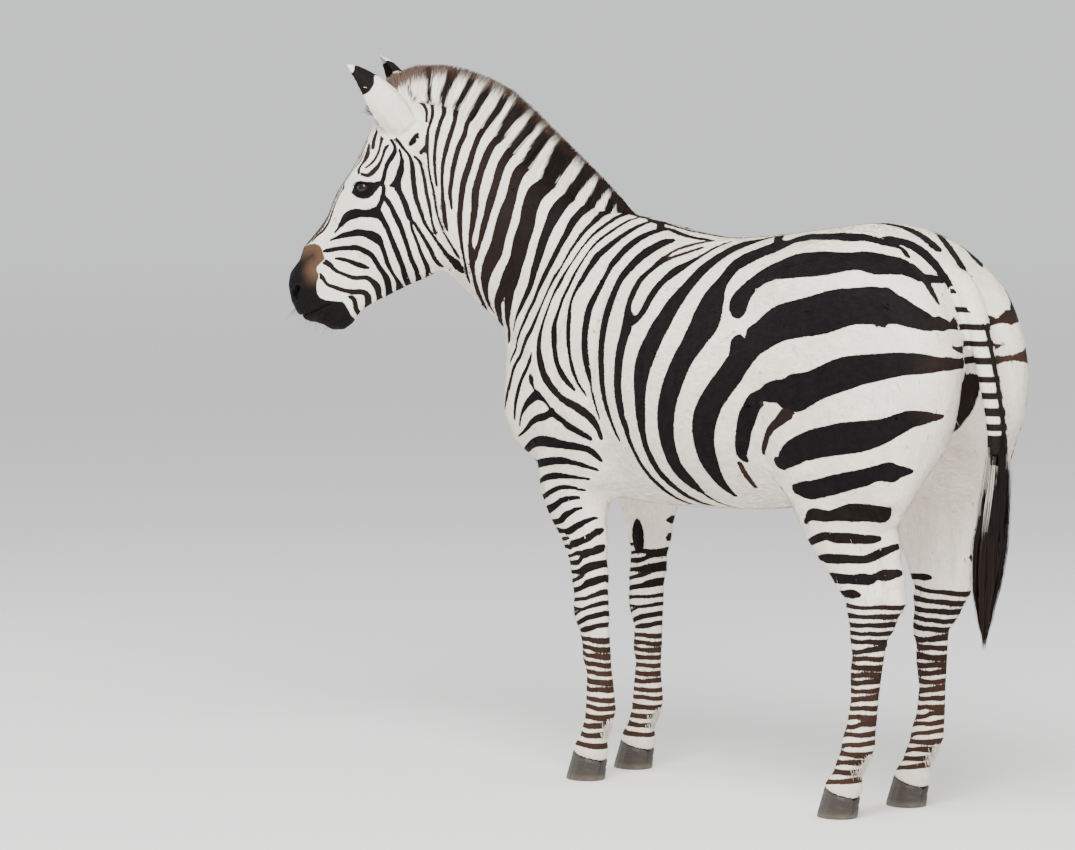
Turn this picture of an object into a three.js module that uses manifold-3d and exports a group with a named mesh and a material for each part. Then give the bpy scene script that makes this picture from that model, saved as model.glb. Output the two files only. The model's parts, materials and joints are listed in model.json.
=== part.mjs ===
// A plains zebra standing square, its neck turned to its left, as a still life-size model.
//
// The flesh is one smooth body: an implicit surface built from named muscles and bones, walked over
// by marching cubes, thinned to few triangles and parted by thin cuts into head, neck, trunk and legs.
// Mane, tail, ears, eyes and hooves are solids of their own that meet it.
//
// Millimetres. The model is laid out with x to the zebra's left, f forward of mid body and z up from
// the ground; the row frame has +X left, +Y rearward (y = -f), +Z up, its origin under the middle of
// the whole model's box.
import * as THREE from "three";
import { edgeTable, triTable } from "three/addons/objects/MarchingCubes.js";
import { mergeVertices } from "three/addons/utils/BufferGeometryUtils.js";
import Module from "manifold-3d";

const wasm = await Module();
wasm.setup();

// ---------------------------------------------------------------- driving dimensions

const DRAWN_WITHERS = 1300; // the height of the withers that the sizes below belong to
const WITHERS = 1300; // the height wanted, to which the whole model is scaled
const GAP = 0.35; // air between pieces that touch
const FLESH_TRIANGLES = 4900; // what the smooth body is thinned to
const HEAD_FINENESS = 6; // how much more a change of shape counts on the head than on the trunk
const LEG_FINENESS = 2; // and on the legs

const NECK_TURN = THREE.MathUtils.degToRad(39); // how far the head looks to the left
const TURN_FROM = 410; // f where the neck starts to bend
const TURN_TO = 710; // f where it has turned all the way
const TURN_RADIUS = (TURN_TO - TURN_FROM) / NECK_TURN;

// Points of the head are given as [x, f, z] on the straight animal.
const EYE = { at: [82, 1069, 1369], radius: 21 };
// An ear's half width and wall, how far its opening turns inward (a sine), the angles that its leaf
// is rolled through at root and tip, and the share of its length by which its root is hollow.
const EAR = {
  halfWidth: 41,
  wall: 7,
  inward: 0.45,
  rollAtRoot: 150,
  rollAtTip: 62,
  solidTo: 0.3,
  rings: 9,
  segments: 6,
};
const EARS = {
  left: { base: [56, 957, 1500], tip: [84, 1096, 1652] },
  right: { base: [56, 957, 1505], tip: [84, 1040, 1670] },
};
// The mane's root along the crest and the height of its edge over it.
const MANE = [
  { f: 385, z: 1302, h: 2 },
  { f: 438, z: 1300, h: 46 },
  { f: 526, z: 1317, h: 92 },
  { f: 577, z: 1339, h: 104 },
  { f: 628, z: 1375, h: 110 },
  { f: 698, z: 1433, h: 115 },
  { f: 769, z: 1500, h: 116 },
  { f: 844, z: 1540, h: 112 },
  { f: 908, z: 1556, h: 106 },
  { f: 961, z: 1566, h: 88 },
  { f: 1000, z: 1552, h: 58 },
  { f: 1028, z: 1520, h: 24 },
];
const MANE_RINGS = 20;
const MANE_HALF_WIDTH = 25;
const MANE_ROOT = 18; // how deep its root runs into the neck before it is cut away there
// One side of its section: half width and height as shares of the full ones.
const MANE_SECTION = [[1, 0], [0.98, 0.04], [0.86, 0.4], [0.6, 0.78], [0.26, 0.97]];
// A hoof: its height at the middle, the slope of its coronet, how far the coronet's middle lies behind
// the sole's, and the half widths across, ahead of and behind the middle at sole and coronet. Its
// rings are given by their share of the height and of the full size, rounding both edges.
const HOOF = {
  height: 60,
  slope: 0.36,
  lean: 14,
  sole: [43, 54, 46],
  coronet: [38, 41, 40],
  rings: [[0, 0.98], [0.12, 1], [0.55, 1], [0.9, 1], [1, 0.95]],
  around: 16,
};

// The tail's course and half widths; below the cut it is the tuft of long hair.
const TAIL = [
  { at: [0, -505, 1205], wide: 34, deep: 30 },
  { at: [0, -560, 1200], wide: 33, deep: 29 },
  { at: [0, -600, 1160], wide: 31, deep: 27 },
  { at: [0, -630, 1080], wide: 29, deep: 25 },
  { at: [0, -655, 985], wide: 28, deep: 24 },
  { at: [0, -674, 900], wide: 27, deep: 23 },
  { at: [0, -680, 822], wide: 27, deep: 23 },
  { at: [0, -676, 760], wide: 33, deep: 28 },
  { at: [0, -668, 690], wide: 40, deep: 34 },
  { at: [0, -660, 610], wide: 41, deep: 35 },
  { at: [0, -652, 530], wide: 33, deep: 28 },
  { at: [0, -648, 460], wide: 18, deep: 16 },
  { at: [0, -646, 412], wide: 4, deep: 4 },
];
const TAIL_CUT = 822;
const TAIL_RINGS = 20;

// Back line, belly line and half width of the barrel at f.
const BARREL_WIDEST = 0.46; // share of its height at which it is widest
const BARREL_SQUARENESS = { above: 1.95, below: 2.15 }; // powers of its section, 2 being an ellipse
const TRUNK = [
  { f: 702, top: 1000, bottom: 850, half: 50 },
  { f: 662, top: 1090, bottom: 780, half: 118 },
  { f: 580, top: 1190, bottom: 708, half: 162 },
  { f: 470, top: 1278, bottom: 665, half: 182 },
  { f: 360, top: 1300, bottom: 645, half: 212 },
  { f: 220, top: 1279, bottom: 645, half: 246 },
  { f: 100, top: 1268, bottom: 648, half: 266 },
  { f: -90, top: 1284, bottom: 662, half: 277 },
  { f: -220, top: 1302, bottom: 695, half: 273 },
  { f: -350, top: 1318, bottom: 745, half: 258 },
  { f: -440, top: 1303, bottom: 800, half: 232 },
  { f: -520, top: 1255, bottom: 870, half: 186 },
  { f: -580, top: 1170, bottom: 950, half: 120 },
  { f: -605, top: 1100, bottom: 1000, half: 40 },
];

// The legs: the middle of the coronet in a leg standing square, the height at which the leg parts
// from the trunk and the f between which it lies; step carries knee or hock and foot forward.
const FORE = {
  name: "front",
  foot: { x: 102, f: 440 },
  top: 635,
  reach: [200, 720],
  step: { left: { joint: 0, foot: 0 }, right: { joint: 24, foot: 40 } },
};
const HIND = {
  name: "hind",
  foot: { x: 116, f: -342 },
  top: 655,
  reach: [-720, -130],
  step: { left: { joint: 0, foot: 0 }, right: { joint: 22, foot: -4 } },
};

// Where the thin cuts through the neck run, each through two [f, z] points of the side view.
const NECK_CUT = [[430, 1330], [700, 940]];
const POLL_CUT = [[945, 1585], [872, 1150]];

// ---------------------------------------------------------------- fields and how they join

const smoothMin = (a, b, k) => {
  const h = Math.max(k - Math.abs(a - b), 0) / k;
  return Math.min(a, b) - (h * h * k) / 4;
};

// A smooth curve through the values of one column at the stations' f, as a table for quick reading.
function column(stations, key, step = 4) {
  const sorted = [...stations].sort((a, b) => a.f - b.f);
  const first = sorted[0].f;
  const last = sorted[sorted.length - 1].f;
  const curve = new THREE.CatmullRomCurve3(
    sorted.map((s) => new THREE.Vector3(s.f, s[key], 0)),
    false,
    "centripetal",
  );
  const drawn = curve.getPoints(sorted.length * 24);
  const table = [];
  let i = 0;
  for (let f = first; f <= last; f += step) {
    while (i < drawn.length - 2 && drawn[i + 1].x < f) i++;
    const share = (f - drawn[i].x) / (drawn[i + 1].x - drawn[i].x || 1);
    table.push(drawn[i].y + (drawn[i + 1].y - drawn[i].y) * Math.min(1, share));
  }
  return (f) => {
    const at = THREE.MathUtils.clamp((f - first) / step, 0, table.length - 1.001);
    const n = Math.floor(at);
    return table[n] + (table[n + 1] - table[n]) * (at - n);
  };
}

// The barrel: a rounded section at every f.
function barrel(stations) {
  const [top, bottom, half] = ["top", "bottom", "half"].map((key) => column(stations, key));
  const front = stations[0].f;
  const rear = stations[stations.length - 1].f;
  return (x, f, z) => {
    const at = THREE.MathUtils.clamp(f, rear, front);
    const [up, down, wide] = [top(at), bottom(at), half(at)];
    const widest = down + (up - down) * BARREL_WIDEST;
    const tall = z > widest ? up - widest : widest - down;
    const power = z > widest ? BARREL_SQUARENESS.above : BARREL_SQUARENESS.below;
    const r = (Math.abs(x) / wide) ** power + (Math.abs(z - widest) / tall) ** power;
    const inPlane = (r ** (1 / power) - 1) * Math.min(wide, tall);
    return f === at ? inPlane : Math.hypot(Math.max(inPlane, 0), f - at);
  };
}

// An ellipsoid leaned by lean degrees in the side view (its top goes back) and mirrored by |x|.
function lump(at, radii, lean = 0) {
  const c = Math.cos(THREE.MathUtils.degToRad(lean));
  const s = Math.sin(THREE.MathUtils.degToRad(lean));
  const [rx, rf, rz] = radii;
  return (x, f, z) => {
    const dx = (x - at[0]) / rx;
    const df = f - at[1];
    const dz = z - at[2];
    const a = (df * c + dz * s) / rf;
    const b = (dz * c - df * s) / rz;
    const k0 = Math.hypot(dx, a, b);
    const k1 = Math.hypot(dx / rx, a / rf, b / rz) || 1e-9;
    return (k0 * (k0 - 1)) / k1;
  };
}

// A round cone between two points, thinner or thicker across than it is in the side view.
function bone(a, b, ra, rb, acrossA = 1, acrossB = acrossA) {
  const d = [b[0] - a[0], b[1] - a[1], b[2] - a[2]];
  const length2 = d[0] * d[0] + d[1] * d[1] + d[2] * d[2];
  return (x, f, z) => {
    const raw = ((f - a[1]) * d[1] + (z - a[2]) * d[2] + (x - a[0]) * d[0]) / length2;
    const t = Math.min(1, Math.max(0, raw));
    const across = acrossA + (acrossB - acrossA) * t;
    const away = Math.hypot((x - a[0] - d[0] * t) / across, f - a[1] - d[1] * t, z - a[2] - d[2] * t);
    return (away - ra - (rb - ra) * t) * Math.min(1, across);
  };
}

// Bones through a list of joints { at, r, across }.
const limb = (joints) =>
  joints.slice(1).map((to, i) => {
    const from = joints[i];
    return bone(from.at, to.at, from.r, to.r, from.across ?? 1, to.across ?? 1);
  });

// ---------------------------------------------------------------- the bend of the neck

// Where a point of the straight animal comes to lie.
function turned(x, f) {
  if (f <= TURN_FROM) return [x, f];
  const angle = Math.min(f - TURN_FROM, TURN_TO - TURN_FROM) / TURN_RADIUS;
  const beyond = Math.max(0, f - TURN_TO);
  const [c, s] = [Math.cos(angle), Math.sin(angle)];
  return [
    TURN_RADIUS * (1 - c) + beyond * s + x * c,
    TURN_FROM + TURN_RADIUS * s + beyond * c - x * s,
  ];
}

// The point of the straight animal that lies there.
function unturned(x, f) {
  if (f <= TURN_FROM) return [x, f];
  const angle = Math.atan2(f - TURN_FROM, TURN_RADIUS - x);
  if (angle < NECK_TURN) {
    return [
      TURN_RADIUS - Math.hypot(f - TURN_FROM, TURN_RADIUS - x),
      TURN_FROM + angle * TURN_RADIUS,
    ];
  }
  const [c, s] = [Math.cos(NECK_TURN), Math.sin(NECK_TURN)];
  const dx = x - TURN_RADIUS * (1 - c);
  const df = f - TURN_FROM - TURN_RADIUS * s;
  return [dx * c - df * s, TURN_TO + dx * s + df * c];
}

// ---------------------------------------------------------------- the flesh

// Muscle masses that stand a little proud of the barrel.
const TRUNK_MASSES = [
  { field: lump([92, 480, 1020], [92, 128, 235], 24), k: 60 }, // shoulder blade and its muscles
  { field: lump([132, 592, 890], [54, 68, 100], 15), k: 90 }, // point of the shoulder
  { field: lump([140, 430, 830], [78, 105, 125], -10), k: 60 }, // triceps
  { field: lump([60, 596, 836], [66, 84, 110], 0), k: 80 }, // breast
  { field: lump([110, -360, 1090], [148, 215, 185], 0), k: 70 }, // croup
  { field: lump([118, -520, 985], [104, 128, 215], -4), k: 60 }, // buttock
  { field: lump([150, -370, 900], [98, 165, 185], -18), k: 60 }, // thigh
  { field: lump([168, -285, 795], [66, 74, 92], 0), k: 50 }, // stifle
  { field: lump([150, -470, 800], [70, 105, 130], -12), k: 50 }, // back of the thigh
];

const NECK = limb([
  { at: [0, 560, 1125], r: 194, across: 0.84 },
  { at: [0, 668, 1208], r: 164, across: 0.72 },
  { at: [0, 742, 1266], r: 152, across: 0.66 },
  { at: [0, 828, 1374], r: 132, across: 0.64 },
  { at: [0, 903, 1454], r: 108, across: 0.72 },
  { at: [0, 958, 1496], r: 74, across: 0.9 },
]);

const HEAD = [
  { field: bone([0, 975, 1455], [0, 1060, 1322], 84, 68, 1.02, 1.02), k: 30 }, // skull
  { field: bone([0, 1060, 1322], [0, 1140, 1200], 68, 58, 0.94, 0.8), k: 30 }, // nose
  { field: lump([26, 968, 1290], [64, 128, 132], 0), k: 24 }, // cheek
  { field: lump([52, 1050, 1366], [47, 46, 50], 0), k: 24 }, // eye socket
  { field: bone([0, 978, 1226], [0, 1096, 1120], 92, 50, 0.66, 0.74), k: 36 }, // lower jaw
  { field: bone([0, 1148, 1186], [0, 1166, 1118], 64, 74, 0.84, 0.84), k: 30 }, // muzzle
  { field: lump([32, 1202, 1150], [32, 36, 44], 20), k: 18 }, // nostril rim
  { field: lump([0, 1122, 1074], [40, 38, 44], 0), k: 22 }, // chin
  { field: bone([66, 1060, 1320], [46, 1116, 1236], 24, 15), k: 26 }, // cheekbone
];

// A fore leg from the elbow to the coronet, its knee and foot carried forward by a step.
function foreLeg({ joint, foot }) {
  return [
    ...limb([
      { at: [134, 470, 760], r: 92, across: 0.72 },
      { at: [128, 474, 690], r: 84, across: 0.74 },
      { at: [120, 464, 635], r: 75, across: 0.78 },
      { at: [113, 446 + joint * 0.3, 560], r: 54, across: 0.8 },
      { at: [108, 437 + joint * 0.7, 480], r: 44, across: 0.84 },
      { at: [106, 434 + joint, 430], r: 42, across: 0.9 },
    ]),
    lump([106, 434 + joint, 396], [40, 44, 50]), // knee
    ...limb([
      { at: [105, 430 + joint, 365], r: 35, across: 0.95 },
      { at: [103, 422 + (joint + foot) / 2, 290], r: 29, across: 0.9 },
      { at: [102, 414 + foot, 215], r: 28, across: 0.9 },
      { at: [102, 409 + foot, 168], r: 34, across: 0.9 },
      { at: [102, 428 + foot, 110], r: 29, across: 0.95 },
      { at: [102, 440 + foot, 66], r: 38, across: 0.98 },
      { at: [102, 448 + foot, 40], r: 40, across: 0.98 },
    ]),
    bone([104, 404 + joint, 345], [102, 392 + foot, 190], 17, 16), // tendons
    lump([146, 366, 742], [36, 46, 56], 20), // point of the elbow
  ];
}

// A hind leg from the thigh to the coronet, its hock and foot carried forward by a step.
function hindLeg({ joint, foot }) {
  return [
    ...limb([
      { at: [160, -322, 800], r: 116, across: 0.62 },
      { at: [150, -348, 700], r: 104, across: 0.64 },
      { at: [142, -372, 625], r: 84, across: 0.68 },
      { at: [135, -402 + joint * 0.5, 560], r: 62, across: 0.76 },
      { at: [129, -424 + joint * 0.8, 505], r: 52, across: 0.84 },
      { at: [125, -424 + joint, 460], r: 46, across: 0.88 },
      { at: [121, -412 + joint, 410], r: 35, across: 0.9 },
      { at: [118, -403 + (joint + foot) / 2, 330], r: 29, across: 0.9 },
      { at: [117, -395 + foot, 225], r: 28, across: 0.9 },
      { at: [116, -387 + foot, 172], r: 35, across: 0.9 },
      { at: [116, -360 + foot, 112], r: 30, across: 0.95 },
      { at: [116, -344 + foot, 66], r: 38, across: 0.98 },
      { at: [116, -336 + foot, 40], r: 39, across: 0.98 },
    ]),
    ...limb([
      { at: [146, -460, 730], r: 52, across: 0.8 },
      { at: [134, -484 + joint * 0.3, 620], r: 28, across: 0.9 },
      { at: [127, -494 + joint * 0.8, 545], r: 24 },
      { at: [124, -492 + joint, 500], r: 27 },
      { at: [121, -466 + joint, 440], r: 24 },
    ]), // Achilles tendon and the point of the hock
    bone([119, -448 + joint, 415], [116, -412 + foot, 200], 18, 16), // tendons
  ];
}

const BARREL = barrel(TRUNK);
const LEGS = {
  left: [foreLeg(FORE.step.left), hindLeg(HIND.step.left)],
  right: [foreLeg(FORE.step.right), hindLeg(HIND.step.right)],
};
const LEG_BLEND = 34;
const LEG_TOP = 960; // no part of a leg's own shape is higher
const NECK_BLEND = 90;
const NECK_REAR = 330; // nor does the neck reach farther back
const NECK_LOW = 880; // or lower
const HEAD_REAR = 780;

// Distance-like value at a point: below 0 inside the flesh.
function flesh(x, f, z) {
  const side = Math.abs(x);
  let d = BARREL(x, f, z);
  for (const { field, k } of TRUNK_MASSES) d = smoothMin(d, field(side, f, z), k);
  if (f > NECK_REAR && z > NECK_LOW) {
    const [nx, nf] = unturned(x, f);
    let neck = 1e3;
    for (const field of NECK) neck = smoothMin(neck, field(nx, nf, z), 24);
    if (nf > HEAD_REAR) {
      for (const { field, k } of HEAD) neck = smoothMin(neck, field(Math.abs(nx), nf, z), k);
    }
    d = smoothMin(d, neck, NECK_BLEND);
  }
  if (z < LEG_TOP) {
    const [fore, hind] = x > 0 ? LEGS.left : LEGS.right;
    let leg = 1e3;
    for (const field of f > 0 ? fore : hind) leg = smoothMin(leg, field(side, f, z), 16);
    d = smoothMin(d, leg, LEG_BLEND);
  }
  return d;
}

// ---------------------------------------------------------------- surfaces from fields

// Grid lines with their own step in each stretch: [from, to, step] lists.
function gridLines(stretches) {
  const lines = [stretches[0][0]];
  for (const [from, to, step] of stretches) {
    const count = Math.max(1, Math.round((to - from) / step));
    for (let i = 1; i <= count; i++) lines.push(from + ((to - from) * i) / count);
  }
  return lines;
}

const CORNERS = [[0, 0, 0], [1, 0, 0], [1, 1, 0], [0, 1, 0], [0, 0, 1], [1, 0, 1], [1, 1, 1], [0, 1, 1]];
const EDGES = [
  [0, 1], [1, 2], [3, 2], [0, 3], [4, 5], [5, 6], [7, 6], [4, 7], [0, 4], [1, 5], [2, 6], [3, 7],
];

// Marching cubes over field(x, y, z) on a grid of lines. Returns { points, triangles }.
function surface(field, xs, ys, zs) {
  const [nx, ny, nz] = [xs.length, ys.length, zs.length];
  const index = (i, j, k) => i + nx * (j + ny * k);
  const value = new Float32Array(nx * ny * nz);
  for (let k = 0; k < nz; k++)
    for (let j = 0; j < ny; j++)
      for (let i = 0; i < nx; i++) value[index(i, j, k)] = field(xs[i], ys[j], zs[k]) || 1e-3;
  const points = [];
  const triangles = [];
  const made = new Map();
  const crossing = (i, j, k, edge) => {
    const [a, b] = EDGES[edge].map((c) => [i + CORNERS[c][0], j + CORNERS[c][1], k + CORNERS[c][2]]);
    const axis = a[0] !== b[0] ? 0 : a[1] !== b[1] ? 1 : 2;
    const key = index(...a) * 3 + axis;
    if (!made.has(key)) {
      const [va, vb] = [value[index(...a)], value[index(...b)]];
      const t = THREE.MathUtils.clamp(va / (va - vb), 0.02, 0.98);
      const [pa, pb] = [a, b].map(([u, v, w]) => [xs[u], ys[v], zs[w]]);
      made.set(key, points.length / 3);
      points.push(...pa.map((p, n) => p + (pb[n] - p) * t));
    }
    return made.get(key);
  };
  for (let k = 0; k < nz - 1; k++)
    for (let j = 0; j < ny - 1; j++)
      for (let i = 0; i < nx - 1; i++) {
        let code = 0;
        CORNERS.forEach(([u, v, w], n) => {
          if (value[index(i + u, j + v, k + w)] < 0) code |= 1 << n;
        });
        if (!edgeTable[code]) continue;
        for (let n = code * 16; triTable[n] !== -1; n += 3) {
          triangles.push(
            crossing(i, j, k, triTable[n]),
            crossing(i, j, k, triTable[n + 1]),
            crossing(i, j, k, triTable[n + 2]),
          );
        }
      }
  return { points, triangles };
}

// ---------------------------------------------------------------- thinning a surface

// A binary heap of { cost } entries, cheapest on top.
class Heap {
  constructor() {
    this.items = [];
  }
  push(item) {
    const { items } = this;
    let n = items.push(item) - 1;
    while (n > 0) {
      const parent = (n - 1) >> 1;
      if (items[parent].cost <= item.cost) break;
      items[n] = items[parent];
      n = parent;
    }
    items[n] = item;
  }
  pop() {
    const { items } = this;
    const top = items[0];
    const item = items.pop();
    if (!items.length) return top;
    let n = 0;
    for (;;) {
      let child = 2 * n + 1;
      if (child >= items.length) break;
      if (child + 1 < items.length && items[child + 1].cost < items[child].cost) child++;
      if (items[child].cost >= item.cost) break;
      items[n] = items[child];
      n = child;
    }
    items[n] = item;
    return top;
  }
}

const minus = (a, b) => [a[0] - b[0], a[1] - b[1], a[2] - b[2]];
const cross = (a, b) => [a[1] * b[2] - a[2] * b[1], a[2] * b[0] - a[0] * b[2], a[0] * b[1] - a[1] * b[0]];
const dot = (a, b) => a[0] * b[0] + a[1] * b[1] + a[2] * b[2];
const faceNormal = (a, b, c) => cross(minus(b, a), minus(c, a));

// The sum of squared distances to a set of planes, kept as the ten numbers of a symmetric matrix.
const planeQuadric = ([a, b, c], d, weight) =>
  [a * a, a * b, a * c, a * d, b * b, b * c, b * d, c * c, c * d, d * d].map((v) => v * weight);
const quadricSum = (p, q) => p.map((v, i) => v + q[i]);
const quadricError = (q, [x, y, z]) =>
  x * (q[0] * x + 2 * (q[1] * y + q[2] * z + q[3])) +
  y * (q[4] * y + 2 * (q[5] * z + q[6])) +
  z * (q[7] * z + 2 * q[8]) +
  q[9];

// The point where a quadric is least, or null where it has none.
function quadricLeast(q) {
  const [r0, r1, r2] = [[q[0], q[1], q[2]], [q[1], q[4], q[5]], [q[2], q[5], q[7]]];
  const det = dot(r0, cross(r1, r2));
  if (Math.abs(det) < 1e-4 * (q[0] + q[4] + q[7]) ** 3) return null;
  const right = [-q[3], -q[6], -q[8]];
  const [c0, c1, c2] = [cross(r1, r2), cross(r2, r0), cross(r0, r1)];
  return [0, 1, 2].map((i) => (c0[i] * right[0] + c1[i] * right[1] + c2[i] * right[2]) / det);
}

// Collapses edges, the ones that change the surface least first, until few enough triangles are left.
// Where fineness(point) is high a change counts for more.
function thinned({ points, triangles }, wanted, fineness) {
  const at = [];
  for (let i = 0; i < points.length; i += 3) at.push(points.slice(i, i + 3));
  const faces = [];
  const around = at.map(() => new Set());
  const quadric = at.map(() => new Array(10).fill(0));
  for (let i = 0; i < triangles.length; i += 3) {
    const face = triangles.slice(i, i + 3);
    const normal = faceNormal(...face.map((v) => at[v]));
    const length = Math.hypot(...normal);
    if (length > 1e-12) {
      const unit = normal.map((v) => v / length);
      const plane = planeQuadric(unit, -dot(unit, at[face[0]]), length / 2);
      for (const v of face) quadric[v] = quadricSum(quadric[v], plane);
    }
    for (const v of face) around[v].add(faces.length);
    faces.push(face);
  }
  const version = new Array(at.length).fill(0);
  const heap = new Heap();
  const consider = (a, b) => {
    const q = quadricSum(quadric[a], quadric[b]);
    const middle = at[a].map((v, i) => (v + at[b][i]) / 2);
    const span = Math.hypot(...minus(at[a], at[b]));
    let to = quadricLeast(q);
    if (!to || Math.hypot(...minus(to, middle)) > span) to = middle;
    const cost = (quadricError(q, to) + span ** 4 * 2e-5) * fineness(to);
    heap.push({ cost, a, b, to, stamp: version[a] + version[b] * 65536 });
  };
  const neighbours = (v) => {
    const found = new Set();
    for (const face of around[v]) for (const other of faces[face]) if (other !== v) found.add(other);
    return found;
  };
  const turnsOver = (v, gone, to) => {
    for (const n of around[v]) {
      const face = faces[n];
      if (face.includes(gone)) continue;
      const before = faceNormal(...face.map((u) => at[u]));
      const after = faceNormal(...face.map((u) => (u === v ? to : at[u])));
      if (dot(before, after) < 0.3 * Math.hypot(...before) * Math.hypot(...after)) return true;
    }
    return false;
  };
  at.forEach((_, a) => {
    for (const b of neighbours(a)) if (b > a) consider(a, b);
  });
  let count = faces.length;
  while (count > wanted && heap.items.length) {
    const { a, b, to, stamp } = heap.pop();
    if (!around[a] || !around[b] || stamp !== version[a] + version[b] * 65536) continue;
    const [nearA, nearB] = [neighbours(a), neighbours(b)];
    const shared = [...nearA].filter((v) => nearB.has(v));
    if (!nearA.has(b) || shared.length !== 2) continue;
    if (turnsOver(a, b, to) || turnsOver(b, a, to)) continue;
    at[a] = to;
    quadric[a] = quadricSum(quadric[a], quadric[b]);
    for (const n of around[b]) {
      const face = faces[n];
      if (face.includes(a)) {
        for (const v of face) around[v].delete(n);
        faces[n] = null;
        count--;
      } else {
        face[face.indexOf(b)] = a;
        around[a].add(n);
      }
    }
    around[b] = null;
    version[a]++;
    for (const v of neighbours(a)) consider(Math.min(a, v), Math.max(a, v));
  }
  const kept = new Map();
  const out = { points: [], triangles: [] };
  for (const face of faces) {
    if (!face) continue;
    for (const v of face) {
      if (!kept.has(v)) {
        kept.set(v, kept.size);
        out.points.push(...at[v]);
      }
      out.triangles.push(kept.get(v));
    }
  }
  return out;
}

// ---------------------------------------------------------------- solids

// The surface's signed volume: above 0 when its triangles face outward.
function volume({ points, triangles }) {
  const corner = (v) => points.slice(3 * v, 3 * v + 3);
  let total = 0;
  for (let i = 0; i < triangles.length; i += 3) {
    const [a, b, c] = triangles.slice(i, i + 3).map(corner);
    total += dot(a, cross(b, c)) / 6;
  }
  return total;
}

// A solid from a closed surface in model coordinates (x, y, z).
function solid({ points, triangles }) {
  const facing = volume({ points, triangles }) > 0 ? triangles : [...triangles].reverse();
  return new wasm.Manifold(
    new wasm.Mesh({
      numProp: 3,
      vertProperties: Float32Array.from(points),
      triVerts: Uint32Array.from(facing),
    }),
  );
}

// The same solid with every point moved out along its normal.
function swollen({ points, triangles }, by) {
  const geometry = new THREE.BufferGeometry();
  geometry.setAttribute("position", new THREE.Float32BufferAttribute(points, 3));
  geometry.setIndex(triangles);
  geometry.computeVertexNormals();
  const normals = geometry.attributes.normal.array;
  const outward = volume({ points, triangles }) > 0 ? by : -by;
  return solid({ points: points.map((p, i) => p + normals[i] * outward), triangles });
}

// A solid from a three.js primitive placed by a matrix.
function primitive(geometry, matrix = new THREE.Matrix4()) {
  const bare = geometry.clone();
  bare.deleteAttribute("normal");
  bare.deleteAttribute("uv");
  const joined = mergeVertices(bare, 1e-4).applyMatrix4(matrix);
  return solid({
    points: Array.from(joined.attributes.position.array),
    triangles: Array.from(joined.index.array),
  });
}

// The half of space ahead of (side 1) or behind (side -1) the plane through two [f, z] points.
function halfSpace([upper, lower], side, frame = new THREE.Matrix4()) {
  const size = 4000;
  const [nf, nz] = [upper[1] - lower[1], lower[0] - upper[0]];
  const length = Math.hypot(nf, nz);
  const away = (side * (size + GAP)) / 2 / length;
  const middle = [(upper[0] + lower[0]) / 2 + nf * away, (upper[1] + lower[1]) / 2 + nz * away];
  const matrix = new THREE.Matrix4()
    .makeTranslation(0, -middle[0], middle[1])
    .multiply(new THREE.Matrix4().makeRotationX(-Math.atan2(nz, nf)));
  return primitive(new THREE.BoxGeometry(size, size, size), matrix.premultiply(frame));
}

// A block between two corners given as [x, f, z].
function block(from, to) {
  const size = from.map((v, i) => Math.abs(to[i] - v));
  const middle = from.map((v, i) => (to[i] + v) / 2);
  const box = new THREE.BoxGeometry(...size);
  return primitive(box, new THREE.Matrix4().makeTranslation(middle[0], -middle[1], middle[2]));
}

// A closed skin over rings of equally many points, each [x, y, z]. Round ends are capped from their
// middle; a ring that runs out along one side and back along the other is capped across itself.
function lofted(rings, folded = false) {
  const count = rings[0].length;
  const points = rings.flat(2);
  const triangles = [];
  for (let r = 0; r < rings.length - 1; r++)
    for (let i = 0; i < count; i++) {
      const [a, b] = [r * count + i, r * count + ((i + 1) % count)];
      triangles.push(a, b, b + count, a, b + count, a + count);
    }
  for (const r of [0, rings.length - 1]) {
    const cap = [];
    const at = (i) => r * count + i;
    if (folded) {
      for (let i = 0; i < count / 2 - 1; i++) {
        cap.push(at(i), at(i + 1), at(count - 2 - i), at(i), at(count - 2 - i), at(count - 1 - i));
      }
    } else {
      const hub = points.length / 3;
      points.push(...[0, 1, 2].map((n) => rings[r].reduce((sum, p) => sum + p[n], 0) / count));
      for (let i = 0; i < count; i++) cap.push(hub, at(i), at((i + 1) % count));
    }
    triangles.push(...(r === 0 ? cap.reverse() : cap));
  }
  return { points, triangles };
}

// ---------------------------------------------------------------- the pieces

// Carries a piece drawn on the straight animal's head to where the turned head is.
const [PIVOT_X, PIVOT_F] = turned(0, TURN_TO);
const HEAD_FRAME = new THREE.Matrix4()
  .makeTranslation(PIVOT_X, -PIVOT_F, 0)
  .multiply(new THREE.Matrix4().makeRotationZ(NECK_TURN))
  .multiply(new THREE.Matrix4().makeTranslation(0, TURN_TO, 0));

const headPoint = (x, f, z) => new THREE.Vector3(x, -f, z).applyMatrix4(HEAD_FRAME).toArray();
const turnedPoint = (x, f, z) => {
  const [tx, tf] = turned(x, f);
  return [tx, -tf, z];
};

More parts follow.
